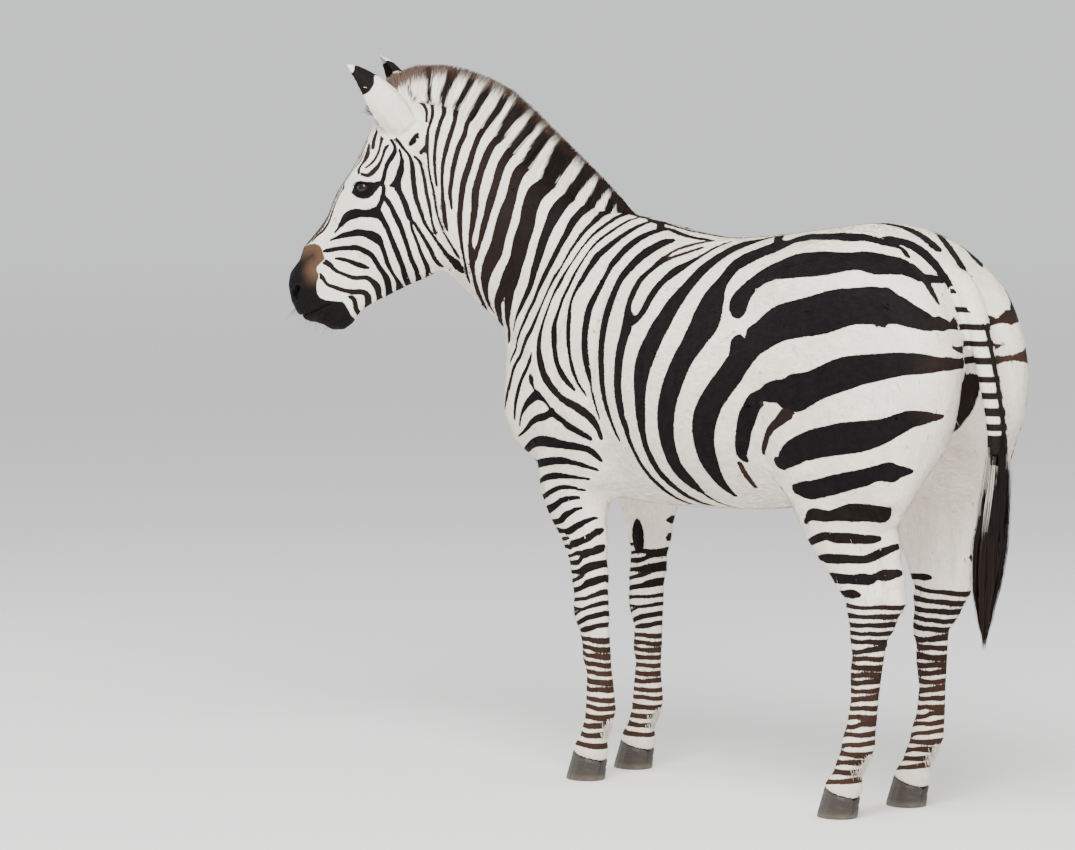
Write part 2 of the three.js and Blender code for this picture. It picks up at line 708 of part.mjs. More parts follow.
// An ear: a leaf rolled into a funnel, solid at its root and open towards the front. With air it is
// that much thicker all round.
function ear({ base, tip }, side, air = 0) {
  const axis = new THREE.Vector3(0, tip[1] - base[1], tip[2] - base[2]);
  const length = axis.length();
  axis.normalize();
  const front = new THREE.Vector3(0, axis.z, -axis.y);
  const open = new THREE.Vector3(-side * EAR.inward, 0, 0)
    .addScaledVector(front, Math.sqrt(1 - EAR.inward ** 2));
  const across = new THREE.Vector3().crossVectors(open, axis);
  const rings = [];
  for (let n = 0; n <= EAR.rings; n++) {
    const t = n / EAR.rings;
    const leaf = Math.sin(Math.PI * (0.2 + 0.8 * t) ** 0.95) ** 0.7;
    const wide = EAR.halfWidth * leaf + EAR.wall * (1 - t / 2);
    const rolled = THREE.MathUtils.degToRad(
      THREE.MathUtils.lerp(EAR.rollAtRoot, EAR.rollAtTip, t ** 0.8),
    );
    const radius = wide / Math.sin(Math.min(rolled, Math.PI / 2));
    const roll = rolled + (air * 1.5) / radius;
    const wall = Math.max(EAR.wall, radius * 0.94 * (1 - t / EAR.solidTo));
    const centre = new THREE.Vector3(
      side * (base[0] + (tip[0] - base[0]) * t),
      base[1] + (tip[1] - base[1]) * t,
      base[2] + (tip[2] - base[2]) * t,
    ).addScaledVector(open, radius - wide);
    const arc = (r, from, to) => {
      for (let i = 0; i <= EAR.segments; i++) {
        const angle = from + ((to - from) * i) / EAR.segments;
        const p = centre.clone()
          .addScaledVector(open, -r * Math.cos(angle))
          .addScaledVector(across, r * Math.sin(angle));
        ring.push(headPoint(p.x, p.y, p.z));
      }
    };
    const ring = [];
    arc(radius + air, -roll, roll);
    arc(Math.max(radius - wall - air, 0.5), roll, -roll);
    rings.push(ring);
  }
  return lofted(rings, true);
}

// The standing mane: a ridge along the crest, thick at its root and thin at its edge.
function mane() {
  const profile = [...MANE_SECTION, ...MANE_SECTION.map(([w, h]) => [-w, h]).reverse()];
  const curve = new THREE.CatmullRomCurve3(MANE.map(({ f, z, h }) => new THREE.Vector3(f, z, h)));
  const rings = [];
  for (let n = 0; n <= MANE_RINGS; n++) {
    const at = curve.getPoint(n / MANE_RINGS);
    const along = curve.getTangent(n / MANE_RINGS);
    const length = Math.hypot(along.x, along.y);
    const [upF, upZ] = [-along.y / length, along.x / length];
    const height = Math.max(at.z, 4);
    const half = MANE_HALF_WIDTH * Math.min(1, 0.35 + height / 90);
    rings.push(
      profile.map(([w, h]) => {
        const up = h === 0 ? -MANE_ROOT : h * height;
        return turnedPoint(w * half, at.x + upF * up, at.y + upZ * up);
      }),
    );
  }
  return lofted(rings);
}

// A round bar along { at: [x, f, z], wide, deep } stations, its rings square to its course.
function bar(stations, rings, around) {
  const curve = new THREE.CatmullRomCurve3(
    stations.map(({ at: [x, f, z] }) => new THREE.Vector3(x, -f, z)),
  );
  const sizes = new THREE.CatmullRomCurve3(
    stations.map(({ wide, deep }) => new THREE.Vector3(wide, deep, 0)),
  );
  const out = [];
  for (let n = 0; n <= rings; n++) {
    const t = n / rings;
    const centre = curve.getPoint(t);
    const size = sizes.getPoint(t);
    const along = curve.getTangent(t);
    const side = new THREE.Vector3(1, 0, 0).addScaledVector(along, -along.x).normalize();
    const other = new THREE.Vector3().crossVectors(along, side);
    const ring = [];
    for (let i = 0; i < around; i++) {
      const angle = (2 * Math.PI * i) / around;
      const p = centre.clone()
        .addScaledVector(side, size.x * Math.cos(angle))
        .addScaledVector(other, size.y * Math.sin(angle));
      ring.push(p.toArray());
    }
    out.push(ring);
  }
  return lofted(out);
}

// A hoof: a blunt cone from its flat sole up to the slanted coronet.
function hoof(x, f) {
  const rings = [];
  for (const [t, share] of HOOF.rings) {
    const ring = [];
    const [wide, front, rear] = HOOF.sole.map((v, i) => share * (v + (HOOF.coronet[i] - v) * t));
    for (let i = 0; i < HOOF.around; i++) {
      const angle = (2 * Math.PI * i) / HOOF.around;
      const forward = Math.cos(angle) * (Math.cos(angle) > 0 ? front : rear);
      const across = Math.sin(angle) * wide;
      const top = HOOF.height + HOOF.slope * forward;
      ring.push([x + across, -(f + forward - HOOF.lean * t), t * top]);
    }
    rings.push(ring);
  }
  return lofted(rings);
}

// ---------------------------------------------------------------- putting it together

const skin = thinned(
  surface(
    (x, y, z) => flesh(x, -y, z),
    gridLines([[-345, 620, 12]]),
    gridLines([[-1230, -780, 8], [-780, 720, 12]]),
    gridLines([[-20, 560, 9], [560, 1640, 11]]),
  ),
  FLESH_TRIANGLES,
  ([, y, z]) => {
    if (-y > HEAD_REAR && z > NECK_LOW) return HEAD_FINENESS;
    return z < HIND.top ? LEG_FINENESS : 1;
  },
);
const body = solid(skin);
const bodyAndAir = swollen(skin, GAP);
const ahead = body.intersect(halfSpace(NECK_CUT, 1));

const nodes = {};
nodes.head = ahead.intersect(halfSpace(POLL_CUT, 1, HEAD_FRAME));
nodes.neck = ahead.intersect(halfSpace(POLL_CUT, -1, HEAD_FRAME));
nodes.trunk = body.intersect(halfSpace(NECK_CUT, -1));
nodes.mane = solid(mane()).subtract(bodyAndAir);
const tail = solid(bar(TAIL, TAIL_RINGS, 12)).subtract(bodyAndAir);
nodes.tail_dock = tail.intersect(block([-200, -900, TAIL_CUT], [200, -400, 1400]));
nodes.tail_tuft = tail.intersect(block([-200, -900, 0], [200, -400, TAIL_CUT - GAP]));

for (const [name, side] of [["left", 1], ["right", -1]]) {
  for (const leg of [FORE, HIND]) {
    const [from, to] = leg.reach;
    const f = leg.foot.f + leg.step[name].foot;
    const region = (top) => block([side * 8, from, -50], [side * 420, to, top]);
    const coronet = [50, -50].map((d) => [f + d, HOOF.height + HOOF.slope * d + GAP]);
    nodes[`leg_${leg.name}_${name}`] = body.intersect(region(leg.top)).intersect(halfSpace(coronet, -1));
    nodes[`hoof_${leg.name}_${name}`] = solid(hoof(side * leg.foot.x, f + HOOF.lean));
    nodes.trunk = nodes.trunk.subtract(region(leg.top + GAP));
  }
  nodes[`ear_${name}`] = solid(ear(EARS[name], side)).subtract(bodyAndAir);
  nodes.mane = nodes.mane.subtract(solid(ear(EARS[name], side, 3 * GAP)));
  const [x, f, z] = EYE.at;
  const place = new THREE.Matrix4().makeTranslation(...headPoint(side * x, f, z));
  nodes[`eye_${name}`] = primitive(new THREE.SphereGeometry(EYE.radius, 14, 9), place);
  nodes.head = nodes.head.subtract(
    primitive(new THREE.SphereGeometry(EYE.radius + GAP, 14, 9), place),
  );
}

const LOOKS = {
  coat: { color: 0xe9e1d3, roughness: 0.85, metalness: 0 },
  hair: { color: 0x2b2019, roughness: 0.9, metalness: 0 },
  eye: { color: 0x120d0a, roughness: 0.1, metalness: 0 },
  horn: { color: 0x2f2a26, roughness: 0.5, metalness: 0 },
};
const LOOK_OF = { mane: "hair", tail_tuft: "hair", eye: "eye", hoof: "horn" };

const zebra = new THREE.Group();
zebra.name = "zebra";
for (const [name, made] of Object.entries(nodes)) {
  const { vertProperties, triVerts } = made.getMesh();
  const geometry = new THREE.BufferGeometry();
  geometry.setAttribute("position", new THREE.BufferAttribute(vertProperties, 3));
  geometry.setIndex(new THREE.BufferAttribute(triVerts, 1));
  geometry.computeVertexNormals();
  const look = LOOK_OF[name] ?? LOOK_OF[name.split("_")[0]] ?? "coat";
  const mesh = new THREE.Mesh(geometry, new THREE.MeshStandardMaterial(LOOKS[look]));
  mesh.name = name;
  zebra.add(mesh);
}

// The origin goes under the middle of the box around the whole model.
const box = new THREE.Box3().setFromObject(zebra);
const middle = box.getCenter(new THREE.Vector3());
const scale = WITHERS / DRAWN_WITHERS;
for (const mesh of zebra.children) {
  mesh.geometry.translate(-middle.x, -middle.y, -box.min.z);
  mesh.geometry.scale(scale, scale, scale);
}

export default zebra;
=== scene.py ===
"""A life-size plains zebra, standing with its head turned to its left.

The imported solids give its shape. One skin stands for all of the flesh. On it lie the markings, the
short coat, the upright mane and the long hair of the tail. Eyes and hooves are pieces of their own.
"""

import json
import math

import bmesh
import bpy
import numpy as np
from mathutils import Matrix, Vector
from mathutils.bvhtree import BVHTree
from mathutils.kdtree import KDTree

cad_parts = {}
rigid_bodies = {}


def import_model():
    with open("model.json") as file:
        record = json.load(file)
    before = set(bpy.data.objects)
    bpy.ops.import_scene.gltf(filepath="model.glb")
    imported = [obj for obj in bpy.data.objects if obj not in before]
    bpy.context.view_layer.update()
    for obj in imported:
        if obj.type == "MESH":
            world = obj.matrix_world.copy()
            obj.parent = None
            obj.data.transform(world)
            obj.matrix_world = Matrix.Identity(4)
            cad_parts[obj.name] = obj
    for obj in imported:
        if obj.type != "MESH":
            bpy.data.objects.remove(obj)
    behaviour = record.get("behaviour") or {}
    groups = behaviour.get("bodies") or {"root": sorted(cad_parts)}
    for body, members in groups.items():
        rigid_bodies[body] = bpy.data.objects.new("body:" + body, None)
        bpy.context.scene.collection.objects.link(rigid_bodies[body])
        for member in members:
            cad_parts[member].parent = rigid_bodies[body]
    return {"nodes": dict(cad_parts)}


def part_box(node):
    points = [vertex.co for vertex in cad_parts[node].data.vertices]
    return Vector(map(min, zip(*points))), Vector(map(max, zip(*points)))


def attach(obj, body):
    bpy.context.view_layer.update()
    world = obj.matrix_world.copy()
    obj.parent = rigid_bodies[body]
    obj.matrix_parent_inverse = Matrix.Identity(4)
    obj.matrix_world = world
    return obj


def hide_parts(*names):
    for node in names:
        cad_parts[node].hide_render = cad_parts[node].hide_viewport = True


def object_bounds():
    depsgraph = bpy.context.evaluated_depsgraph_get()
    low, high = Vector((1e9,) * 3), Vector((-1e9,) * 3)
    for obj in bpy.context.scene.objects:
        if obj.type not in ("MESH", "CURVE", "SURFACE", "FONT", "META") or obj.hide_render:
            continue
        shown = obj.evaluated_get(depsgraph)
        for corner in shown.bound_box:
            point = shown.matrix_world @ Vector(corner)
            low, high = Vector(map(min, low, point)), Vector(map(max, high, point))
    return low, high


for piece in list(bpy.data.objects):
    bpy.data.objects.remove(piece)
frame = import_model()
NODES = frame["nodes"]
CAD_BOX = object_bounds()
MM = 0.001
FAR = 9.0  # metres: farther off than anything
RANDOM = np.random.default_rng(7)


# ------------------------------------------------------------------ the straight animal
# Everything is placed on the straight animal, before its neck turns: x to its left, y to its rear
# from a point under the withers, z up, in metres. f is forward, which is -y.

TURN = math.radians(39)
TURN_FROM, TURN_TO = 0.410, 0.710
TURN_RADIUS = (TURN_TO - TURN_FROM) / TURN
FRONT_HOOF = 0.454  # f of the left front hoof
BETWEEN_LEGS = 0.1  # y that parts the forelegs from the hind legs


def middle(node):
    low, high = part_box(node)
    return np.array((low + high) / 2)


HOME = np.array([
    np.mean([middle(name)[0] for name in NODES if name.startswith("hoof")]),
    middle("hoof_front_left")[1] + FRONT_HOOF,
    0,
])


def turned(points):
    """Points of the straight animal, moved to where the turned neck takes them."""
    x, f, z = points[:, 0], -points[:, 1], points[:, 2]
    angle = np.clip((f - TURN_FROM) / TURN_RADIUS, 0, TURN)
    before = np.minimum(f - TURN_FROM, 0)
    past = np.maximum(f - TURN_TO, 0)
    arm = TURN_RADIUS - x
    out_x = TURN_RADIUS - arm * np.cos(angle) + past * np.sin(angle)
    out_f = TURN_FROM + before + arm * np.sin(angle) + past * np.cos(angle)
    return np.stack([out_x, -out_f, z], 1) + HOME


def straight(points):
    """The way back: points of the standing animal, with its neck turned forward again."""
    x, y, z = (points - HOME).T
    arm_x, arm_f = TURN_RADIUS - x, -y - TURN_FROM
    angle = np.arctan2(arm_f, arm_x)
    on_bend = (arm_f > 0) & (angle < TURN)
    past = (arm_f > 0) & (angle >= TURN)
    arm = np.hypot(arm_x, arm_f)
    sin, cos = math.sin(TURN), math.cos(TURN)
    far_x = TURN_RADIUS - arm_x * cos - arm_f * sin
    far_f = TURN_TO - arm_x * sin + arm_f * cos
    new_x = np.select([on_bend, past], [TURN_RADIUS - arm, far_x], x)
    new_f = np.select([on_bend, past], [TURN_FROM + angle * TURN_RADIUS, far_f], -y)
    return np.stack([new_x, -new_f, z], 1)


BOX_LOW, BOX_HIGH = (np.array(corner) for corner in CAD_BOX)
BOX_MARGIN = 0.3 * MM  # by which the hair's ends stay inside the box of the solids
BOX_EASE = 3 * MM  # how near the box the skin starts to be drawn in


def eased_inside(points):
    """The points, those near the box of the solids drawn in a little, so that none is outside."""
    out = turned(points)
    for limit, way in ((BOX_HIGH, 1), (BOX_LOW, -1)):
        over = np.maximum((out - limit) * way + BOX_EASE, 0)
        out = out - way * (over - BOX_EASE * (1 - np.exp(-over / BOX_EASE)))
    return straight(out)


def kept_inside(points):
    """The points, none of them outside the box of the solids."""
    return straight(np.clip(turned(points), BOX_LOW + BOX_MARGIN, BOX_HIGH - BOX_MARGIN))


# ------------------------------------------------------------------ meshes as arrays

def points_of(mesh):
    out = np.empty(len(mesh.vertices) * 3, np.float32)
    mesh.vertices.foreach_get("co", out)
    return out.reshape(-1, 3).astype(float)


def corners_of(mesh):
    """The three corners of every triangle."""
    mesh.calc_loop_triangles()
    out = np.empty(len(mesh.loop_triangles) * 3, np.int32)
    mesh.loop_triangles.foreach_get("vertices", out)
    return out.reshape(-1, 3)


def normals_at(points, corners):
    """Normals at the points of a mesh of triangles."""
    a, b, c = (points[corners[:, k]] for k in range(3))
    face = np.cross(b - a, c - a)
    out = np.zeros_like(points)
    for k in range(3):
        for axis in range(3):
            out[:, axis] += np.bincount(corners[:, k], face[:, axis], len(points))
    return out / np.maximum(np.linalg.norm(out, axis=1), 1e-12)[:, None]


def unit(vectors):
    return vectors / np.maximum(np.linalg.norm(vectors, axis=-1, keepdims=True), 1e-12)


def smoothstep(low, high, value):
    t = np.clip((value - low) / (high - low), 0, 1)
    return t * t * (3 - 2 * t)


def course_distance(course, flat):
    """How far points of the side view are from a course."""
    line = np.array(course, float) * MM
    if len(line) == 1:
        return np.linalg.norm(flat - line[0], axis=1)
    best = np.full(len(flat), FAR)
    for a, b in zip(line[:-1], line[1:]):
        span = b - a
        t = np.clip(((flat - a) @ span) / (span @ span), 0, 1)
        best = np.minimum(best, np.linalg.norm(flat - a - t[:, None] * span, axis=1))
    return best


def outline_distance(corners, flat):
    """How far points are outside an outline. It is negative inside."""
    best = course_distance(list(corners) + [corners[0]], flat)
    ends = np.array(corners, float) * MM
    inside = np.zeros(len(flat), bool)
    for a, b in zip(ends, np.roll(ends, -1, axis=0)):
        crosses = (a[1] > flat[:, 1]) != (b[1] > flat[:, 1])
        with np.errstate(divide="ignore", invalid="ignore"):
            cut = a[0] + (flat[:, 1] - a[1]) * (b[0] - a[0]) / (b[1] - a[1])
        inside ^= crosses & (flat[:, 0] < cut)
    return np.where(inside, -best, best)


def side_view(at):
    return np.stack([-at[:, 1], at[:, 2]], 1)


def bell(value, width):
    return np.exp(-((value / width) ** 2))


def add_object(name, mesh, material, replaces=()):
    piece = bpy.data.objects.new(name, mesh)
    bpy.context.scene.collection.objects.link(piece)
    mesh.materials.clear()
    mesh.materials.append(material)
    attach(piece, "root")
    if replaces:
        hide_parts(*replaces)


def new_mesh(name, points, faces):
    mesh = bpy.data.meshes.new(name)
    mesh.vertices.add(len(points))
    mesh.vertices.foreach_set("co", np.asarray(points, np.float32).ravel())
    width = faces.shape[1]
    mesh.loops.add(faces.size)
    mesh.loops.foreach_set("vertex_index", np.asarray(faces, np.int32).ravel())
    mesh.polygons.add(len(faces))
    mesh.polygons.foreach_set("loop_start", np.arange(len(faces), dtype=np.int32) * width)
    mesh.update(calc_edges=True)
    mesh.shade_smooth()
    return mesh


def evaluated(piece):
    graph = bpy.context.evaluated_depsgraph_get()
    return bpy.data.meshes.new_from_object(piece.evaluated_get(graph))


# ------------------------------------------------------------------ skin

FLESH = [
    name
    for name in NODES
    if name in ("head", "neck", "trunk", "tail_dock") or name.split("_")[0] in ("ear", "leg")
]
EYES = ["eye_left", "eye_right"]
OVERLAP = 0.4 * MM  # by which the solids are swollen, to close the air between them
VOXEL = 3.2 * MM
COAT_DEPTH = 3 * MM
EYE_AT = np.array([80, -1054, 1366]) * MM  # middle of the left eye
NOSTRIL_AT = np.array([50, -1219, 1121]) * MM
MOUTH = ((1137, 1094), (1147, 1090), (1163, 1082), (1180, 1074), (1195, 1068), (1208, 1064),
         (1222, 1061))  # f and z of the slit of the mouth, in millimetres


def solid_flesh():
    """One closed mesh around all of the flesh, its eye sockets filled."""
    whole = bmesh.new()
    for name in FLESH + EYES:
        part = bmesh.new()
        part.from_mesh(NODES[name].data)
        bmesh.ops.remove_doubles(part, verts=part.verts, dist=1e-6)
        part.normal_update()
        for vertex in part.verts:
            vertex.co += vertex.normal * OVERLAP
        mesh = bpy.data.meshes.new(name)
        part.to_mesh(mesh)
        part.free()
        whole.from_mesh(mesh)
    mesh = bpy.data.meshes.new("flesh")
    whole.to_mesh(mesh)
    whole.free()
    piece = bpy.data.objects.new("flesh", mesh)
    bpy.context.scene.collection.objects.link(piece)
    remesh = piece.modifiers.new("remesh", "REMESH")
    remesh.mode = "VOXEL"
    remesh.voxel_size = VOXEL
    out = evaluated(piece)
    bpy.data.objects.remove(piece)
    return out


WEIGHT_STEPS = 20


def group(piece, name, weights):
    """A vertex group with the given weight at each point, in steps."""
    made = piece.vertex_groups.new(name=name)
    steps = np.round(weights * WEIGHT_STEPS).astype(int)
    for step in range(1, WEIGHT_STEPS + 1):
        chosen = np.flatnonzero(steps == step)
        if len(chosen):
            made.add(chosen.tolist(), step / WEIGHT_STEPS, "REPLACE")


KEPT = {"wide": 0.08, "legs": 0.20, "head": 0.80}  # share of the triangles kept in each region


def thinned_skin(mesh):
    """The skin smoothed and thinned: the head keeps its fine mesh, legs and trunk a wider one."""
    piece = bpy.data.objects.new("skin", mesh)
    bpy.context.scene.collection.objects.link(piece)
    at = straight(points_of(mesh))
    f, z = -at[:, 1], at[:, 2]
    head = smoothstep(0.80, 0.90, f)
    ear = head * smoothstep(1.50, 1.54, z) * (np.abs(at[:, 0]) > 0.02)
    leg = 1 - smoothstep(0.45, 0.75, z)
    tail = smoothstep(-0.52, -0.60, f)
    soft = 1 - 0.80 * np.clip(np.maximum(np.maximum(head, leg), tail), 0, 1) - 0.14 * ear
    about_eye = np.linalg.norm(np.abs(at) - np.abs(EYE_AT), axis=1)
    soft = np.maximum(soft, smoothstep(0.046, 0.030, about_eye))
    group(piece, "soft", soft)
    regions = {
        "wide": (head == 0) & (z > 0.60),
        "legs": (head == 0) & (z <= 0.60),
        "head": head > 0,
    }
    for name, members in regions.items():
        group(piece, name, members.astype(float))
    smooth = piece.modifiers.new("smooth", "SMOOTH")
    smooth.iterations = 60
    smooth.factor = 0.5
    smooth.vertex_group = "soft"
    total = 2 * len(mesh.polygons)
    kept = total
    for name, members in regions.items():
        faces = total * members.mean()
        target = kept - faces * (1 - KEPT[name])
        thin = piece.modifiers.new(name, "DECIMATE")
        thin.vertex_group = name
        thin.vertex_group_factor = 0
        thin.ratio = target / kept
        kept = target
    out = evened(evaluated(piece))
    bpy.data.objects.remove(piece)
    return out


HEAD_GRAIN = 3.6  # how far apart the skin's points are on the head, in millimetres
SLACK = 1.35  # how much longer than that an edge may be before it is divided
ROUNDS = 3  # of dividing


def spacing_at(at):
    """How far apart the skin's points may be, which is less where the markings are finer."""
    f, z = -at[:, 1], at[:, 2]
    high = np.interp(f, [-0.58, -0.50, 0.0, 0.45, 0.82, 0.93], [6.5, 10.0, 10.0, 7.0, 5.0, HEAD_GRAIN])
    return np.where(z < 0.66, 5.5, high) * MM


def grain_at(at):
    """How long the skin's edges may be: spacing_at, but less at the eyes, nostrils and mouth."""
    near = np.abs(at) * [1, -1, 1]
    eye = np.linalg.norm(near - EYE_AT, axis=1)
    nostril = np.linalg.norm(near - NOSTRIL_AT, axis=1)
    mouth = np.where(at[:, 1] < -1.1, course_distance(MOUTH, side_view(at)), FAR)
    fine = np.interp(eye, [0.027, 0.045], [1.0, HEAD_GRAIN])
    fine = np.minimum(fine, np.interp(nostril, [0.020, 0.032], [1.0, HEAD_GRAIN]))
    fine = np.minimum(fine, np.interp(mouth, [0.005, 0.012], [1.3, HEAD_GRAIN]))
    return np.where(fine < HEAD_GRAIN, np.minimum(fine * MM, spacing_at(at)), spacing_at(at))


def evened(mesh):
    """The mesh with its long edges divided."""
    work = bmesh.new()
    work.from_mesh(mesh)
    bmesh.ops.triangulate(work, faces=work.faces[:])
    for _ in range(ROUNDS):
        work.verts.index_update()
        work.edges.ensure_lookup_table()
        at = straight(np.array([vertex.co for vertex in work.verts]))
        ends = np.array([[edge.verts[0].index, edge.verts[1].index] for edge in work.edges])
        length = np.linalg.norm(at[ends[:, 0]] - at[ends[:, 1]], axis=1)
        long = np.flatnonzero(length > grain_at(at[ends[:, 0]]) * SLACK)
        bmesh.ops.subdivide_edges(work, edges=[work.edges[n] for n in long], cuts=1)
        bmesh.ops.triangulate(work, faces=[face for face in work.faces if len(face.verts) > 3])
    work.to_mesh(mesh)
    work.free()
    return mesh


def inset(points, corners, at):
    """The skin drawn in by the depth of the coat that lies on it."""
    f, z = -at[:, 1], at[:, 2]
    face = smoothstep(0.90, 1.00, f)
    leg = 1 - smoothstep(0.10, 0.75, z)
    depth = COAT_DEPTH * (1 - 0.7 * np.maximum(face, leg))
    return points - normals_at(points, corners) * depth[:, None]


thinned = thinned_skin(solid_flesh())
skin_corners = corners_of(thinned)
skin_points = points_of(thinned)
skin_points = inset(skin_points, skin_corners, straight(skin_points))
bpy.data.meshes.remove(thinned)


# ------------------------------------------------------------------ surfaces to build on

class Surface:
    """A triangle mesh of the straight animal that rays can be cast at."""

    def __init__(self, points, corners):
        self.points = points
        self.normals = normals_at(points, corners)
        self.tree = BVHTree.FromPolygons(points.tolist(), corners.tolist())

    def hit(self, origin, direction, reach=5):
        """Where a ray meets it, with the normal and face there, or None."""
        place, normal, face, _ = self.tree.ray_cast(Vector(origin), Vector(direction), reach)
        return None if place is None else (np.array(place), np.array(normal), face)

    def nearest(self, point):
        place, normal, face, _ = self.tree.find_nearest(Vector(point))
        return np.array(place), np.array(normal), face


def cad_surface(name):
    mesh = NODES[name].data
    return Surface(straight(points_of(mesh)), corners_of(mesh))


SKIN = Surface(straight(skin_points), skin_corners)


# ------------------------------------------------------------------ the course of the markings
# Each band is (before, after, brown, course). Its course is the line down its middle on the left
# side of the straight animal: f, z and width in millimetres. Before and after are how far it runs on
# over the skin past its first and last points, to the back or under the belly, and brown is how far
# its black turns to brown. The right side has the same bands, shifted a little.

NECK_BANDS = [
    (0, 0, 0.1, ((432, 1335, 24), (425, 1322, 26), (415, 1307, 13), (416, 1290, 12), (428, 1260, 7),
                 (438, 1240, 4), (461, 1200, 4), (475, 1178, 6), (488, 1160, 9), (515, 1130, 7),
                 (538, 1100, 7), (561, 1070, 8), (578, 1040, 12), (585, 1020, 18), (586, 1000, 20),
                 (581, 980, 20), (571, 960, 22), (560, 942, 21), (540, 930, 20), (520, 919, 17),
                 (500, 911, 15), (480, 905, 14), (450, 896, 13), (405, 886, 13), (380, 877, 14),
                 (345, 861, 16), (325, 845, 17), (314, 830, 15), (311, 812, 12))),
    (0, 40, 0.1, ((448, 1350, 24), (455, 1335, 20), (461, 1318, 18), (460, 1280, 18),
                  (466, 1260, 16), (472, 1240, 12), (482, 1224, 10), (504, 1184, 8),
                  (528, 1162, 9), (552, 1134, 6), (579, 1100, 6), (596, 1080, 8), (620, 1050, 10),
                  (651, 1014, 10), (677, 984, 8), (699, 952, 7), (709, 925, 6), (719, 890, 4))),
    (0, 30, 0.1, ((475, 1390, 30), (482, 1380, 28), (491, 1364, 25), (500, 1348, 23),
                  (513, 1332, 22), (521, 1310, 24), (524, 1290, 22), (531, 1250, 20),
                  (539, 1230, 19), (548, 1210, 19), (575, 1170, 16), (591, 1150, 13),
                  (615, 1114, 10), (645, 1080, 8), (665, 1048, 6), (693, 1010, 5), (702, 990, 4))),
    (0, 20, 0.1, ((525, 1410, 30), (530, 1400, 28), (545, 1380, 25), (562, 1362, 24),
                  (568, 1350, 24), (577, 1330, 28), (584, 1310, 30), (593, 1280, 26),
                  (603, 1250, 25), (611, 1220, 25), (624, 1182, 22), (641, 1140, 17),
                  (656, 1120, 13), (671, 1100, 11), (688, 1070, 5), (695, 1056, 3))),
    (0, 0, 0.15, ((590, 1445, 46), (604, 1420, 42), (617, 1400, 36), (629, 1372, 34),
                  (645, 1355, 38), (657, 1320, 38), (662, 1280, 40), (675, 1250, 42),
                  (682, 1225, 42), (690, 1200, 38), (703, 1170, 40), (712, 1150, 38),
                  (722, 1138, 28))),
    (0, 0, 0.2, ((722, 1140, 22), (732, 1125, 20), (738, 1112, 16), (742, 1100, 15),
                 (742, 1070, 12), (742, 1050, 8))),
    (0, 20, 0.2, ((706, 1150, 20), (710, 1130, 18), (714, 1105, 15), (717, 1080, 12),
                  (720, 1050, 8), (720, 1030, 6))),
    (0, 20, 0.3, ((638, 1485, 24), (650, 1468, 24), (665, 1445, 22), (684, 1415, 22),
                  (696, 1400, 24), (703, 1380, 22), (712, 1340, 22), (719, 1320, 25),
                  (731, 1280, 26), (741, 1240, 26), (747, 1220, 28), (757, 1200, 26),
                  (765, 1180, 22), (772, 1140, 13), (769, 1104, 6), (765, 1090, 4))),
    (0, 20, 0.35, ((665, 1520, 22), (670, 1512, 20), (696, 1480, 19), (715, 1455, 17),
                   (724, 1442, 16), (736, 1420, 15), (747, 1380, 14), (761, 1330, 14),
                   (768, 1300, 11), (774, 1280, 12), (779, 1260, 9), (789, 1226, 8),
                   (797, 1210, 14), (800, 1200, 12), (798, 1160, 6), (791, 1120, 9),
                   (780, 1085, 5))),
    (0, 0, 0.35, ((700, 1548, 30), (716, 1530, 22), (730, 1510, 18), (746, 1480, 16),
                  (756, 1470, 13), (771, 1440, 14), (784, 1400, 12), (794, 1360, 14),
                  (796, 1320, 13), (801, 1280, 10), (806, 1240, 6), (801, 1210, 12))),
    (0, 20, 0.3, ((735, 1572, 15), (741, 1560, 14), (753, 1540, 14), (767, 1520, 12),
                  (786, 1494, 10), (799, 1460, 10), (810, 1420, 11), (822, 1380, 11),
                  (828, 1340, 10), (831, 1280, 8), (826, 1240, 5), (820, 1200, 4),
                  (815, 1162, 4))),
    (0, 0, 0.3, ((775, 1592, 15), (783, 1580, 14), (795, 1560, 12), (811, 1530, 12),
                 (817, 1520, 8), (823, 1490, 9), (835, 1460, 9), (845, 1420, 9), (851, 1380, 7),
                 (854, 1360, 7), (850, 1320, 3))),
    (0, 0, 0.3, ((812, 1612, 14), (819, 1600, 12), (828, 1580, 10), (845, 1550, 9),
                 (847, 1520, 7), (852, 1500, 7), (863, 1460, 8), (871, 1420, 6), (872, 1360, 5),
                 (869, 1320, 7), (863, 1280, 6), (860, 1270, 3))),
    (0, 0, 0.3, ((855, 1628, 22), (859, 1620, 18), (867, 1600, 13), (876, 1570, 11),
                 (877, 1560, 9), (872, 1540, 7), (878, 1520, 7), (883, 1500, 7), (889, 1460, 5),
                 (890, 1420, 5), (886, 1372, 3))),
    (0, 10, 0.35, ((914, 1640, 14), (911, 1620, 9), (910, 1600, 7), (910, 1576, 7),
                   (900, 1550, 5), (898, 1536, 5), (906, 1500, 4), (908, 1470, 6),
                   (906, 1440, 3), (903, 1400, 3), (892, 1350, 4), (883, 1300, 3),
                   (866, 1258, 3), (848, 1228, 4), (838, 1212, 5))),
    (0, 0, 0.4, ((908, 1464, 7), (914, 1456, 7), (922, 1448, 6))),
    (0, 0, 0.5, ((958, 1600, 3), (952, 1580, 4), (940, 1568, 4), (925, 1560, 4), (913, 1545, 4),
                 (911, 1520, 3))),
]

